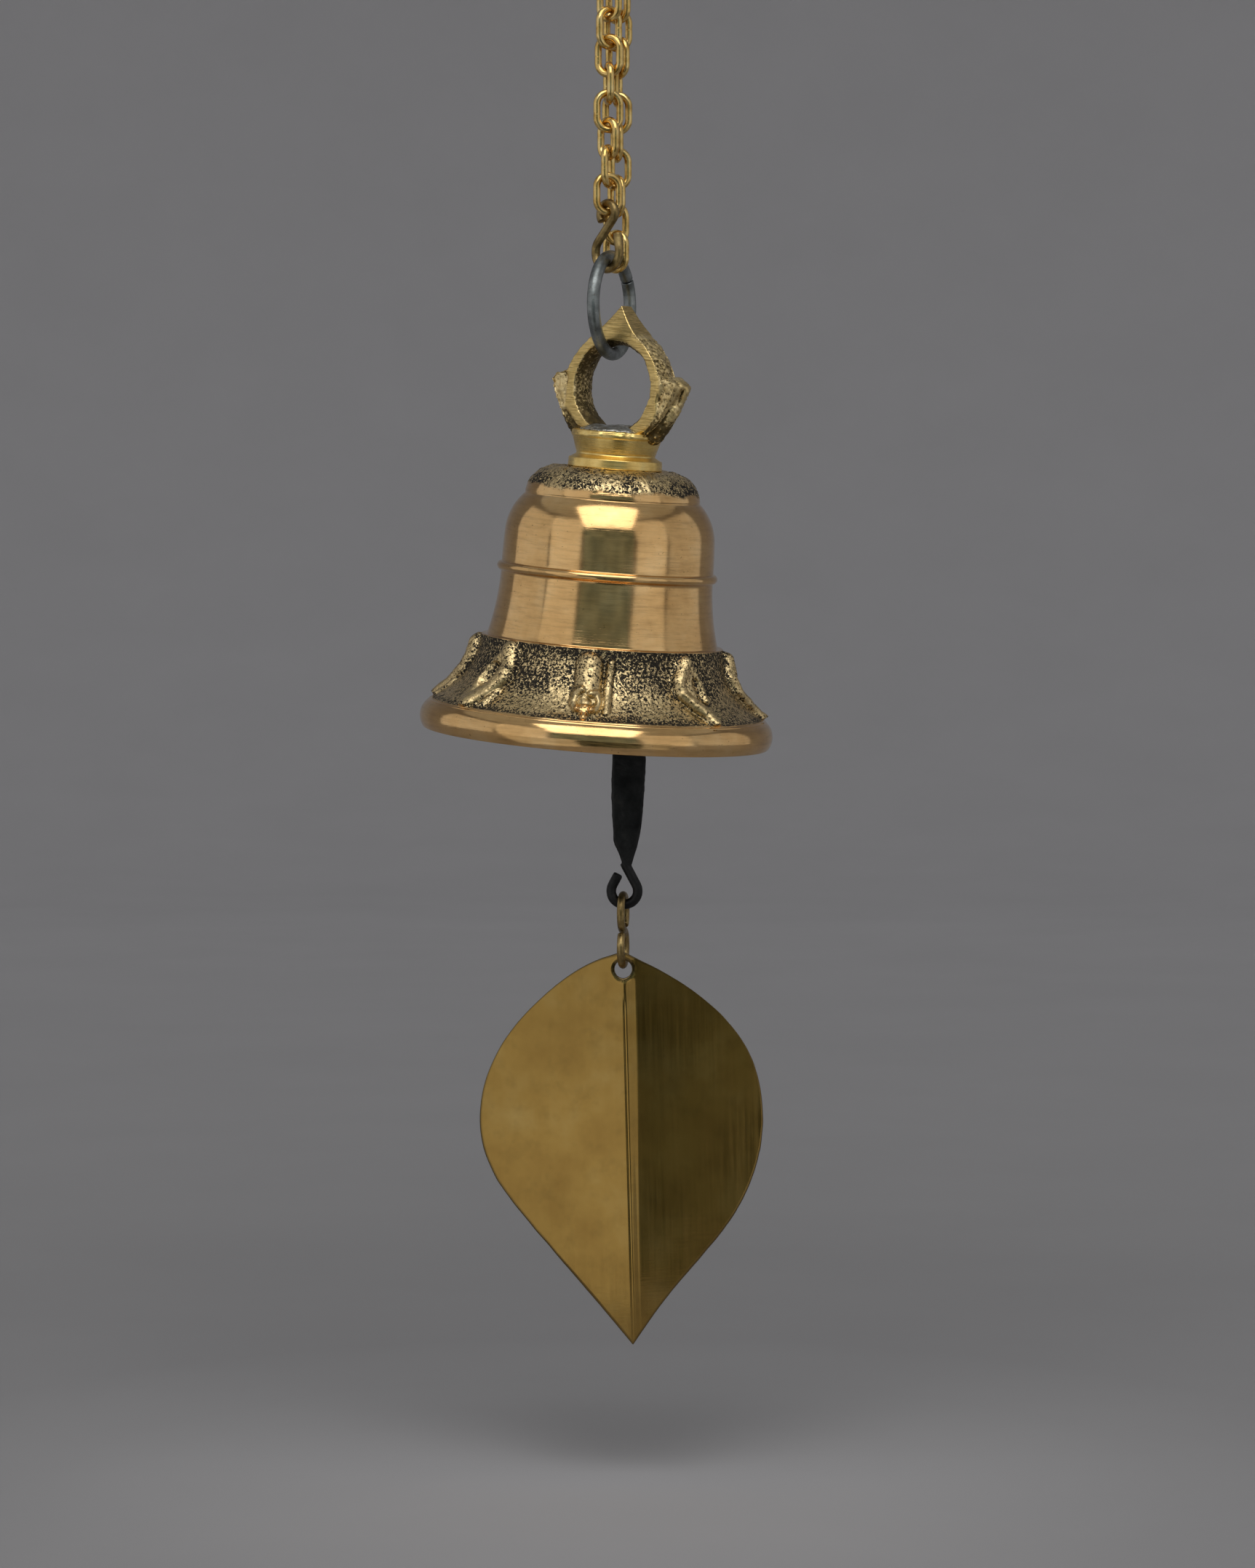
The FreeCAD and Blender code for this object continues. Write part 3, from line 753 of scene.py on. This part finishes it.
def make_bell():
    """Turned bell shell with a cast band and a rough cast cap."""
    outside = turned((0, CAP_Z), ((15.0, CAP_Z), 0.8), ((15.9, 68.55), (16.6, 68.3), 0.4),
                     ((20.3, 66.0), (22.3, 61.5), 0.4), ((22.25, 61.2), (22.5, 60.9), 0.12),
                     ((25.3, 57.0), (26.7, 52.0), 0.4), ((26.9, 48.0), (27.0, 43.62), 0.5),
                     ((27.08, 43.48), (27.25, 43.4), 0.08), ((28.1, 42.3), (27.25, 41.2), 0.14),
                     ((27.08, 41.12), (27.0, 40.98), 0.08), ((27.7, 33.0), (29.35, 25.2), 0.5),
                     ((29.45, 24.9), (29.7, 24.8), 0.08), ((30.5, 24.75), 0.15), ((30.75, 24.65), (30.8, 24.4), 0.08),
                     ((34.6, 14.4), (42.5, 7.4), 0.24), ((42.65, 7.2), (42.9, 7.15), 0.08),
                     ((43.05, 7.1), (43.15, 6.9), 0.08), ((45.15, 2.6), (44.4, 0.35), 0.3),
                     ((44.2, 0.08), (43.9, 0.0), 0.12))
    inside = turned((43.9, 0.0), ((41.6, 0.0), 0.5), ((41.25, 0.1), (41.15, 0.4), 0.12),
                    ((40.4, 4.2), (38.0, 7.2), 0.7), ((31.2, 13.4), (26.6, 24.0), 0.9),
                    ((24.4, 34.0), (23.6, 46.0), 1.2), ((22.4, 56.4), (17.5, 62.6), 1.2),
                    ((9.0, 64.7), (0, 65.2), 1.2))
    profile = np.vstack([outside, inside[1:]])
    around = 1080
    points, faces, angles, rows = lathe(profile, around)
    body = points[:-2]
    row = np.repeat(np.arange(1, rows + 1), around)
    radius = profile[row, 0]
    z = profile[row, 1]
    outer = row < len(outside)
    slope = np.gradient(profile, axis=0)
    normal = np.stack([-slope[:, 1], slope[:, 0]], axis=1)
    normal /= np.maximum(np.linalg.norm(normal, axis=1), 1e-9)[:, None]
    normal = normal[row]
    ray = np.stack([np.cos(angles), np.sin(angles), np.zeros(len(angles))], axis=1)
    out = ray * normal[:, :1] + np.array([0, 0, 1]) * normal[:, 1:]

    band = outer & (z > 7.25) & (z < 24.6) & (radius > 30.6)
    rise, polish = relief(angles, z, radius)
    rise, polish = np.where(band, rise, 0), np.where(band, polish, 0)
    fade = smooth_step(7.4, 8.6, z)
    rough = noise(body, 1.0, 3) * 0.075 + noise(body, 0.55, 5) * 0.05 + noise(body, 4.0, 6) * 0.10
    rough += smooth_step(0.3, 1.5, rise) * (noise(body, 1.9, 7) * 0.20 + noise(body, 0.8, 8) * 0.07)
    worn_off = 1 - 0.85 * polish
    push = np.where(band, (rise * (0.9 + 0.1 * fade) + rough * worn_off) * smooth_step(7.3, 7.9, z), 0)
    ragged = noise(body, 5.0, 9) * 0.9 + noise(body, 1.6, 10) * 0.5
    cap = np.where(outer, smooth_step(61.9, 62.7, z + ragged - 0.9), 0)
    push += cap * (noise(body, 2.6, 11) * 0.22 + noise(body, 1.0, 12) * 0.13 + noise(body, 0.55, 13) * 0.06)
    push += np.where(outer & ~band & (cap < 0.5), noise(body, 24.0, 14) * 0.025, 0)
    push += np.where(~outer, noise(body, 6.0, 15) * 0.12, 0)
    sideways = np.where(band, noise(body, 3.0, 16) * 0.10, 0)
    radial = ray * push[:, None] * 0.75 + out * push[:, None] * 0.25
    moved = body + np.where(band[:, None], radial, out * push[:, None])
    moved[:, 2] += sideways
    cast = np.where(band, smooth_step(7.35, 7.7, z + noise(body, 2.0, 17) * 0.12), cap) * (1 - polish)
    cast = np.where(outer & (z > 24.5) & (z < 24.85) & (radius > 29.6), 0.0, cast)
    lower = smooth_step(17.5, 11.0, z)
    worn_band = 0.41 + 0.17 * lower + 0.22 * smooth_step(0.5, 2.0, rise) + noise(body, 6.0, 18) * 0.09
    worn_band -= 0.22 * smooth_step(9.2, 7.6, z) + 0.05 * smooth_step(21, 24, z)
    worn_cap = 0.50 + noise(body, 4.0, 19) * 0.16 + noise(body, 1.0, 12) * 0.06 + 0.1 * smooth_step(65, 68, z)
    worn = np.clip(np.where(band, worn_band, worn_cap), 0, 1)
    inner = np.where(outer, 0.0, 1.0)

    points = np.vstack([moved, points[-2:]])
    marks = {"cast": np.append(cast, [1, 0]), "worn": np.append(worn, [0, 0]), "inner": np.append(inner, [0, 1]),
             "own": points * MM}
    piece = make_mesh("bell_shell_cast", in_place(points), faces, marks)
    finish_piece(piece, "bell_shell", bell_bronze())


def make_neck():
    """Turned neck: polished foot collar, waist, and a flared seat left rough where it was brazed."""
    profile = turned((0, NECK_TOP_Z), ((10.9, NECK_TOP_Z), 0.6), ((11.35, 78.0), (11.5, 77.6), 0.12),
                     ((11.62, 76.9), (11.3, 76.3), 0.15), ((11.0, 75.4), 0.15), ((10.15, 72.6), 0.25),
                     ((10.05, 72.2), (10.2, 71.9), 0.1), ((11.5, 71.15), 0.2), ((11.8, 71.05), (11.9, 70.8), 0.08),
                     ((12.0, 69.0), 0.2), ((11.95, 68.75), (11.7, 68.6), 0.08), ((11.0, 68.3), 0.3), ((0, 68.3), 1.0))
    points, faces, angles, rows = lathe(profile, 360)
    body = points[:-2]
    top = smooth_step(76.0, 77.4, body[:, 2])
    push = top * (noise(body, 2.0, 21) * 0.22 + noise(body, 0.8, 22) * 0.10)
    push += 0.02 * noise(body, 5.0, 23)
    ray = np.stack([np.cos(angles), np.sin(angles), np.zeros(len(angles))], axis=1)
    points[:-2] += ray * push[:, None] * smooth_step(3, 9, np.linalg.norm(body[:, :2], axis=1))[:, None]
    finish_piece(make_mesh("neck_turned", in_place(points), faces, {"own": points * MM}), "neck", neck_brass())


def convexity(points, normals, faces, spread):
    """How far each point stands proud of the points round it, in mm."""
    quads = np.array([face if len(face) == 4 else face + face[-1:] for face in faces])
    pairs = np.vstack([quads[:, [0, 1]], quads[:, [1, 2]], quads[:, [2, 3]], quads[:, [3, 0]]])
    pairs = pairs[pairs[:, 0] != pairs[:, 1]]
    count = np.bincount(pairs.ravel(), minlength=len(points))[:, None]
    mean = points
    for _ in range(spread):
        total = np.stack([np.bincount(pairs[:, 0], mean[pairs[:, 1], k], len(points))
                          + np.bincount(pairs[:, 1], mean[pairs[:, 0], k], len(points)) for k in range(3)], axis=1)
        mean = total / count
    return np.einsum("ij,ij->i", points - mean, normals)


def capsule(name, start, end, radius):
    """A short rounded stroke used to build up a cast shape."""
    path = even(np.array([start, end], float), 0.8)
    return rod(name, path, 2 * radius, around=20, round_end=radius * 0.98)


def make_crown():
    """Cast crown loop: rough outside, front and back filed flat, its peak filed to a pyramid, leaf spurs."""
    spin = turn_matrix((0, 0, 1), CROWN_TURN)
    rise = np.array([0, 0, CROWN_HOLE_Z])

    def out_of_loop(local):
        return in_place(np.asarray(local, float) @ spin.T + rise)

    strokes = [((-18.3, -1.2, 0.2), (-13.6, -2.0, -8.8), 1.25), ((-17.6, 1.8, -1.2), (-13.0, 2.4, -9.2), 1.5),
               ((18.0, -1.6, 0.0), (12.6, -2.6, -4.6), 1.2), ((18.2, 1.0, 0.0), (13.4, 2.2, -8.6), 1.7),
               ((15.4, -0.4, -4.6), (11.4, -0.6, -11.2), 2.8), ((-14.6, 0, -6.5), (-11.2, 0, -11.6), 2.6)]
    extra = [capsule("stroke_%d" % k, *out_of_loop([a, b]), r) for k, (a, b, r) in enumerate(strokes)]
    points, normals, faces = recast("crown_loop_cast", "crown_loop", 0.26, 6, extra)
    own = own_frame(points)
    spun = (own - rise) @ spin
    facing = (own_frame(points + normals) - own) @ spin
    reach = np.hypot(spun[:, 0], spun[:, 2])
    wavy = reach + noise(own, 3.4, 37) * 1.3
    filed = smooth_step(0.78, 0.95, np.abs(facing[:, 1])) * smooth_step(14.9, 14.2, wavy)
    filed *= smooth_step(-13.5, -10.5, spun[:, 2])
    peak = smooth_step(12.6, 14.0, spun[:, 2])
    inside = smooth_step(12.4, 11.6, reach) * (1 - filed)
    rough = noise(own, 1.0, 31) * 0.21 + noise(own, 0.60, 32) * 0.15 + noise(own, 3.4, 33) * 0.30
    keep = np.maximum(filed, peak * 0.92)
    height = rough * (1 - keep) * (1 - 0.4 * inside) + noise(own, 6.0, 34) * 0.12
    outside = smooth_step(0.6, 0.3, np.abs(facing[:, 1])) * smooth_step(12.4, 13.6, reach) * (1 - peak)
    height += outside * (0.35 - 0.75 * (spun[:, 1] / 4) ** 2)
    rim = smooth_step(0.5, 0.9, np.abs(facing[:, 1])) * smooth_step(13.8, 15.4, wavy) * (1 - peak)
    height -= 0.45 * rim
    height -= keep * np.abs(noise(own, 2.4, 36)) * 0.05
    contact = smooth_step(2.6, 5.0, np.linalg.norm(points - joint_at("bell_swing"), axis=1))
    spun = spun + facing * ((height - 0.05) * contact)[:, None]
    taper = np.clip((spun[:, 2] - 13.5) / 7.3, 0, 1)
    spun[:, 1] *= 1 - 0.45 * taper
    spun[:, 2] = np.minimum(spun[:, 2], 20.6)
    moved = out_of_loop(spun)
    proud = convexity(moved, normals, faces, 3)
    low = smooth_step(-5, -12, spun[:, 2])
    worn = 0.53 + 2.4 * proud + 0.45 * keep + 0.12 * noise(own, 5.0, 35) - 0.38 * low * (1 - filed)
    worn -= 0.22 * inside
    marks = {"worn": np.clip(worn, 0, 1), "own": own * MM, "filed": keep}
    finish_piece(make_mesh("crown_loop_cast", moved, faces, marks), "crown_loop", cast_bronze())


def make_braze():
    points, normals, faces = recast("braze_fillet", "braze", 0.2, 4)
    own = own_frame(points)
    lift = noise(own, 1.6, 41) * 0.25 + noise(own, 0.7, 42) * 0.12 + 0.12
    piece = make_mesh("braze_fillet", points + normals * lift[:, None], faces, {"own": own * MM})
    finish_piece(piece, "braze", braze_silver())


def make_staple(material):
    radius, base, leg = 4.0, 60.0, 3.4
    path = np.vstack([[[-radius, 0, base + radius + leg]], arc_points((0, base + radius), radius, 180, 360),
                      [[radius, 0, base + radius + leg]]])
    path = even(path, 0.3) @ turn_matrix((0, 0, 1), 90).T
    piece = rod("clapper_staple_wire", in_place(path), 2.5, around=28, dents=0.03, seed=51)
    finish_piece(piece, "clapper_staple", material)


def make_clapper(material):
    """Forged strip with hammered faces and bent eyes."""
    points, normals, faces = recast("clapper_forged", "clapper", 0.33, 7)
    hang = joint_at("clapper_swing")
    local = points - hang
    strip = smooth_step(-9, -15, local[:, 2]) * smooth_step(-94, -86, local[:, 2])
    hammered = np.abs(noise(local, 6.5, 61)) * -0.34 + noise(local, 2.2, 62) * 0.10 + noise(local, 0.9, 63) * 0.05
    lift = strip * (hammered + 0.10) + (1 - strip) * 0.02 * noise(local, 2.0, 64)
    finish_piece(make_mesh("clapper_forged", points + normals * lift[:, None], faces), "clapper", material)


# ---------------------------------------------------------------- leaf

def leaf_seat():
    """The middle of the wire at the bottom of the leaf link."""
    low, high = box_mm("leaf_link")
    return np.array([(low[0] + high[0]) / 2, (low[1] + high[1]) / 2, low[2] + LEAF_LINK_WIRE / 2])


def make_leaf_link(material):
    """S-shaped wire link, both ends bent in to its middle."""
    bow = LEAF_LINK_RADIUS
    path = np.vstack([arc_points((0, 3 * bow), bow, -48, 270), arc_points((0, bow), bow, 90, -228)[1:]])
    path = placed(even(path, 0.25), turn_matrix((0, 0, 1), LEAF_LINK_TURN), leaf_seat())
    piece = rod("leaf_link_wire", path, LEAF_LINK_WIRE, around=32, round_end=0.25, dents=0.016, seed=91)
    finish_piece(piece, "leaf_link", material)


def smooth_curve(points, count=160):
    """A natural cubic curve through points."""
    points = np.asarray(points, float)
    t = np.concatenate([[0], np.cumsum(np.linalg.norm(np.diff(points, axis=0), axis=1))])
    size = len(t)
    h = np.diff(t)
    matrix = np.eye(size)
    right = np.zeros((size, points.shape[1]))
    for k in range(1, size - 1):
        matrix[k, k - 1:k + 2] = [h[k - 1], 2 * (h[k - 1] + h[k]), h[k]]
        right[k] = 6 * ((points[k + 1] - points[k]) / h[k] - (points[k] - points[k - 1]) / h[k - 1])
    bend = np.linalg.solve(matrix, right)
    where = np.linspace(0, t[-1], count)
    k = np.clip(np.searchsorted(t, where) - 1, 0, size - 2)
    a, b = (t[k + 1] - where) / h[k], (where - t[k]) / h[k]
    a, b, step = a[:, None], b[:, None], h[k][:, None]
    return (a * points[k] + b * points[k + 1]
            + ((a ** 3 - a) * bend[k] + (b ** 3 - b) * bend[k + 1]) * step ** 2 / 6)


def leaf_surface(x, z):
    """How far back the leaf's front face lies at flat places (x, z): fold, rib, dimple and waves."""
    back = np.where(x < 0, -x * math.sin(math.radians(LEAF_FOLD_LEFT)), x * math.sin(math.radians(LEAF_FOLD_RIGHT)))
    soft = 0.30
    back = back + 0.10 * soft * np.exp(-(x / soft) ** 2)
    rib_width = 3.4 - 0.9 * smooth_step(-20, -75, z)
    rib = 0.50 * smooth_step(0.2, rib_width, x)
    reach = np.hypot(x, z)
    crease = 0.16 * np.exp(-((x - 0.05) / 0.30) ** 2) * smooth_step(5, 12, reach)
    flat = np.stack([x, 0 * x + 3.7, z], axis=1)
    wave = noise(flat, 31.0, 95) * 0.30 + noise(flat, 13.0, 96) * 0.07 + noise(flat, 4.6, 97) * 0.010
    wave *= smooth_step(4, 18, reach)
    dimple = 0.30 * np.exp(-((reach - LEAF_HOLE_RADIUS) / 0.8) ** 2)
    return back + rib + crease + wave + dimple


def make_leaf():
    """Creased sheet leaf, meshed as a fan from the rim of its hole to its outline."""
    left = [(0, 4.6), (7.3, 2.3), (21.6, -6.8), (33.5, -19.7), (39.9, -38.0), (37.4, -51.6), (31.5, -60.6),
            (20.3, -73.7), (6.8, -89.0), (0, -96.9)]
    right = [(0, 4.6), (8.9, -0.2), (22.5, -10.0), (31.8, -22.0), (35.4, -38.3), (31.6, -56.7), (24.2, -68.5),
             (11.8, -82.1), (0, -96.9)]
    dense = np.linspace(0, 1, 20001)
    weight = 1 + 7 * np.exp(-((dense - 0.25) * 360 / 5) ** 2) + 2 * np.exp(-((dense - 0.75) * 360 / 12) ** 2)
    share = np.cumsum(weight)
    share = (share - share[0]) / (share[-1] - share[0])
    columns = 800
    turn = 2 * math.pi * np.interp(np.arange(columns) / columns, share, dense) - math.pi
    edge = np.zeros(columns)
    for side, half in ((-1, left), (1, right)):
        curve = smooth_curve(half, 600)
        curve_angle = np.arctan2(curve[:, 1], side * curve[:, 0])
        if side < 0:
            curve_angle = np.where(curve_angle > math.pi / 2 + 1e-6, curve_angle - 2 * math.pi, curve_angle)
        reach = np.hypot(curve[:, 0], curve[:, 1])
        order = np.argsort(curve_angle)
        mine = (np.cos(turn) < 0) if side < 0 else (np.cos(turn) >= 0)
        angle = np.where((side < 0) & (turn > 0), turn - 2 * math.pi, turn)
        edge[mine] = np.interp(angle[mine], curve_angle[order], reach[order])
    ray = np.stack([np.cos(turn), np.sin(turn)], axis=1)
    rim = np.stack([edge * ray[:, 0], 0 * edge, edge * ray[:, 1]], axis=1)
    ragged = np.abs(noise(rim, 7.0, 101)) * 0.22 + np.abs(noise(rim, 2.0, 102)) * 0.08
    edge = edge - ragged * smooth_step(0, 6, np.abs(rim[:, 0]))
    thick = LEAF_THICKNESS
    rows = 120
    t = np.linspace(0, 1, rows) ** 1.25
    round_over = 0.22
    inner = LEAF_HOLE_RADIUS + 0.02 + round_over
    flat_rows, depth = [], []
    for part in t:
        flat_rows.append(inner + (edge - round_over - inner) * part)
        depth.append(0)
    lip = np.linspace(0, math.pi, 9)[1:-1]
    for angle in lip:
        flat_rows.append(edge - round_over + round_over * math.sin(angle))
        depth.append((1 - math.cos(angle)) / 2)
    for part in t[::-1]:
        flat_rows.append(inner + (edge - round_over - inner) * part)
        depth.append(1)
    for angle in lip:
        flat_rows.append(inner - round_over * math.sin(angle) + 0 * edge)
        depth.append((1 + math.cos(angle)) / 2)
    reach = np.array(flat_rows)
    x = (reach * ray[:, 0]).ravel()
    z = (reach * ray[:, 1]).ravel()
    depth = np.repeat(depth, columns)
    front = leaf_surface(x, z)
    fold = np.where(x < 0, math.cos(math.radians(LEAF_FOLD_LEFT)), math.cos(math.radians(LEAF_FOLD_RIGHT)))
    y = front + depth * thick / fold
    points = np.stack([x * fold, y, z], axis=1)
    limit = np.tile(edge, len(flat_rows))
    rim_mark = smooth_step(1.0, 0.0, limit - reach.ravel()) + smooth_step(1.0, 0.0, reach.ravel() - inner)
    own = np.stack([x, y, z], axis=1)
    faces = grid_faces(len(flat_rows), columns, wrap_rows=True, wrap_columns=True)
    drop = LEAF_HOLE_RADIUS - LEAF_LINK_WIRE / 2 - FIT_GAP
    leaning = points @ turn_matrix((0, 1, 0), -LEAF_LEAN).T
    place = leaf_seat() - np.array([0, thick / 2, drop])
    marks = {"own": own * MM, "edge": np.clip(rim_mark, 0, 1)}
    finish_piece(make_mesh("leaf_sheet", leaning + place, faces, marks), "leaf", leaf_brass())


# ---------------------------------------------------------------- stage, lights and camera

FLOOR_Z = -0.385
MIDDLE = Vector((0.0, 0.0, -0.18))


def stage_material(name, colour, painted_brightness):
    """Matt paper with painted light and shade; the listed brightness is painted on at distances from the hanging point,
    in metres.
    """
    m = Nodes(name)
    tint = m.ramp(m.noise(90.0, 3), (0.3, tuple(0.97 * c for c in colour)), (0.7, colour))
    reach = m.add("ShaderNodeVectorMath", operation="LENGTH")
    m.feed(m.place, reach.inputs["Vector"])
    far = painted_brightness[-1][0]
    # painted light and shade: the paper's colour is scaled by a ramp over distance from the hanging point
    share = m.ramp(m.math("DIVIDE", (reach, "Value"), far), *[(r / far, value) for r, value in painted_brightness])
    m.feed(0.0, m.shader.inputs["Specular IOR Level"])
    return m.surface(m.mix(1.0, tint, share, "MULTIPLY"), 0.9, m.bump(m.noise(2.0, 3), 0.05, 0.2), metallic=0.0)


def make_stage():
    """A pale floor that curves up into a wall far behind every view, with light and shade painted into its colour by
    distance.
    """
    flat, bend, top = 1.9, 1.2, 3.2
    rows = [(r, 0.0) for r in np.linspace(0.02, flat, 60)]
    rows += [(flat + bend * math.sin(a), bend * (1 - math.cos(a))) for a in np.linspace(0, math.pi / 2, 32)[1:]]
    rows += [(flat + bend, z) for z in np.linspace(bend, top, 12)[1:]]
    around = 128
    turn = np.linspace(0, 2 * math.pi, around, endpoint=False)
    points = [[r * math.cos(a), r * math.sin(a), FLOOR_Z + z] for r, z in rows for a in turn]
    faces = [face[::-1] for face in grid_faces(len(rows), around, wrap_columns=True)]
    points.append([0, 0, FLOOR_Z])
    faces += [[len(points) - 1, k, (k + 1) % around] for k in range(around)]
    mesh = bpy.data.meshes.new("stage_floor")
    mesh.from_pydata(points, [], faces)
    mesh.polygons.foreach_set("use_smooth", [True] * len(mesh.polygons))
    floor = add_object("stage_floor", mesh)
    # painted light and shade: a painted pool of light right under the object, a painted darker ring a little way out,
    # then painted light rising towards and up the far wall
    painted_brightness = [(0.385, 0.72), (0.41, 0.60), (0.44, 0.53), (0.54, 0.55), (0.62, 0.60), (0.85, 0.69), (1.2, 0.79),
              (1.75, 0.94), (3.4, 0.96)]
    floor.data.materials.append(stage_material("pale_paper_painted_light", (0.66, 0.645, 0.65), painted_brightness))


def card_material(name, dark, light, cloud_size):
    """A dim card with soft clouds in it, as a dark room looks in polished metal."""
    m = Nodes(name, "ShaderNodeEmission")
    m.feed(m.ramp(m.noise(cloud_size / MM, 4, 0.5), (0.40, dark), (0.60, light)), m.shader.inputs["Color"])
    return m.material


def card(name, width, height, material):
    """A card seen only in the polished metal."""
    mesh = bpy.data.meshes.new(name)
    w, h = width / 2, height / 2
    mesh.from_pydata([(-w, -h, 0), (w, -h, 0), (w, h, 0), (-w, h, 0)], [], [(0, 1, 2, 3)])
    thing = add_object(name, mesh)
    thing.data.materials.append(material)
    thing.visible_camera = thing.visible_diffuse = thing.visible_shadow = False
    return thing


def stand_card(thing, azimuth, distance):
    """Stand a card on the floor round the leaf; azimuth as for face_object."""
    a = math.radians(azimuth)
    rise = thing.dimensions.y / 2
    thing.location = (math.sin(a) * distance, -math.cos(a) * distance, FLOOR_Z + rise)
    thing.rotation_euler = (math.radians(90), 0, a)


def face_object(thing, azimuth, elevation, distance):
    """Put a thing round the object, facing it; azimuth 0 is straight in front and 90 to the right, in degrees."""
    a, e = math.radians(azimuth), math.radians(elevation)
    away = Vector((math.sin(a) * math.cos(e), -math.cos(a) * math.cos(e), math.sin(e)))
    thing.location = MIDDLE + away * distance
    thing.rotation_mode = "QUATERNION"
    thing.rotation_quaternion = away.to_track_quat("Z", "Y")


def area_light(name, azimuth, elevation, distance, width, height, radiance, on_stage=False):
    """A softbox facing the object; most of them light the metal alone, so that none draws a line on the floor."""
    data = bpy.data.lights.new(name, "AREA")
    data.shape = "RECTANGLE"
    data.size, data.size_y = width, height
    data.energy = radiance * math.pi * width * height
    lamp = add_object(name, data)
    face_object(lamp, azimuth, elevation, distance)
    lamp.visible_camera = False
    lamp.visible_diffuse = on_stage


def make_lights():
    """Panels, given as azimuth and elevation, distance, width and height, and radiance; then cards; then the sky."""
    area_light("soft_left", -48, 12, 1.05, 0.68, 1.15, 0.48)
    area_light("soft_left_back", -94, 10, 1.7, 1.60, 1.9, 0.34)
    area_light("soft_right", 48, 12, 1.05, 0.68, 1.15, 0.42)
    area_light("soft_right_back", 94, 10, 1.7, 1.60, 1.9, 0.25)
    area_light("soft_top", 0, 52, 1.6, 1.5, 1.4, 2.0, on_stage=True)
    room = card_material("dark_room", (0.09, 0.12, 0.125), (0.19, 0.235, 0.235), 0.30)
    face_object(card("room_card", 1.66, 1.10, room), 0, 7, 1.6)
    dark_table = card_material("dark_table", (0.03, 0.035, 0.03), (0.09, 0.10, 0.09), 0.2)
    table = card("table_card", 0.62, 1.50, dark_table)
    table.location = (0.06, -1.02, FLOOR_Z + 0.004)
    near = card_material("near_room", (0.012, 0.014, 0.011), (0.115, 0.125, 0.105), 0.050)
    stand_card(card("near_card", 0.21, 0.15, near), 9, 0.30)
    bright_left = card_material("bright_left", (0.38, 0.38, 0.37), (0.50, 0.50, 0.49), 0.08)
    stand_card(card("left_card", 0.19, 0.165, bright_left), -37, 0.22)
    bright_right = card_material("bright_right", (0.26, 0.26, 0.25), (0.36, 0.36, 0.35), 0.08)
    stand_card(card("right_card", 0.10, 0.165, bright_right), 37.5, 0.30)
    world = bpy.data.worlds.new("studio")
    bpy.context.scene.world = world
    world.use_nodes = True
    background = world.node_tree.nodes["Background"]
    background.inputs["Color"].default_value = (0.94, 0.97, 1.0, 1)
    background.inputs["Strength"].default_value = 0.30
    bpy.context.scene.view_settings.view_transform = "Standard"


def make_camera():
    """The photo's view: a long lens a little above the object's middle."""
    data = bpy.data.cameras.new("camera")
    data.lens = 102
    data.sensor_width = 36
    camera = add_object("camera", data)
    target = Vector((0.0035, 0.0, -0.2051))
    elevation, distance = math.radians(3.0), 1.134
    back = Vector((0, -math.cos(elevation), math.sin(elevation)))
    camera.location = target + back * distance
    camera.rotation_mode = "QUATERNION"
    camera.rotation_quaternion = (-back).to_track_quat("-Z", "Y")
    data.clip_start, data.clip_end = 0.01, 20
    bpy.context.scene.camera = camera


make_chain()
hook_metal = dull_brass()
make_hook(hook_metal)
make_ring()
make_bell()
make_neck()
make_crown()
make_braze()
clapper_metal = forged_iron()
make_staple(clapper_metal)
make_clapper(clapper_metal)
make_leaf_link(hook_metal)
make_leaf()
make_stage()
make_lights()
make_camera()
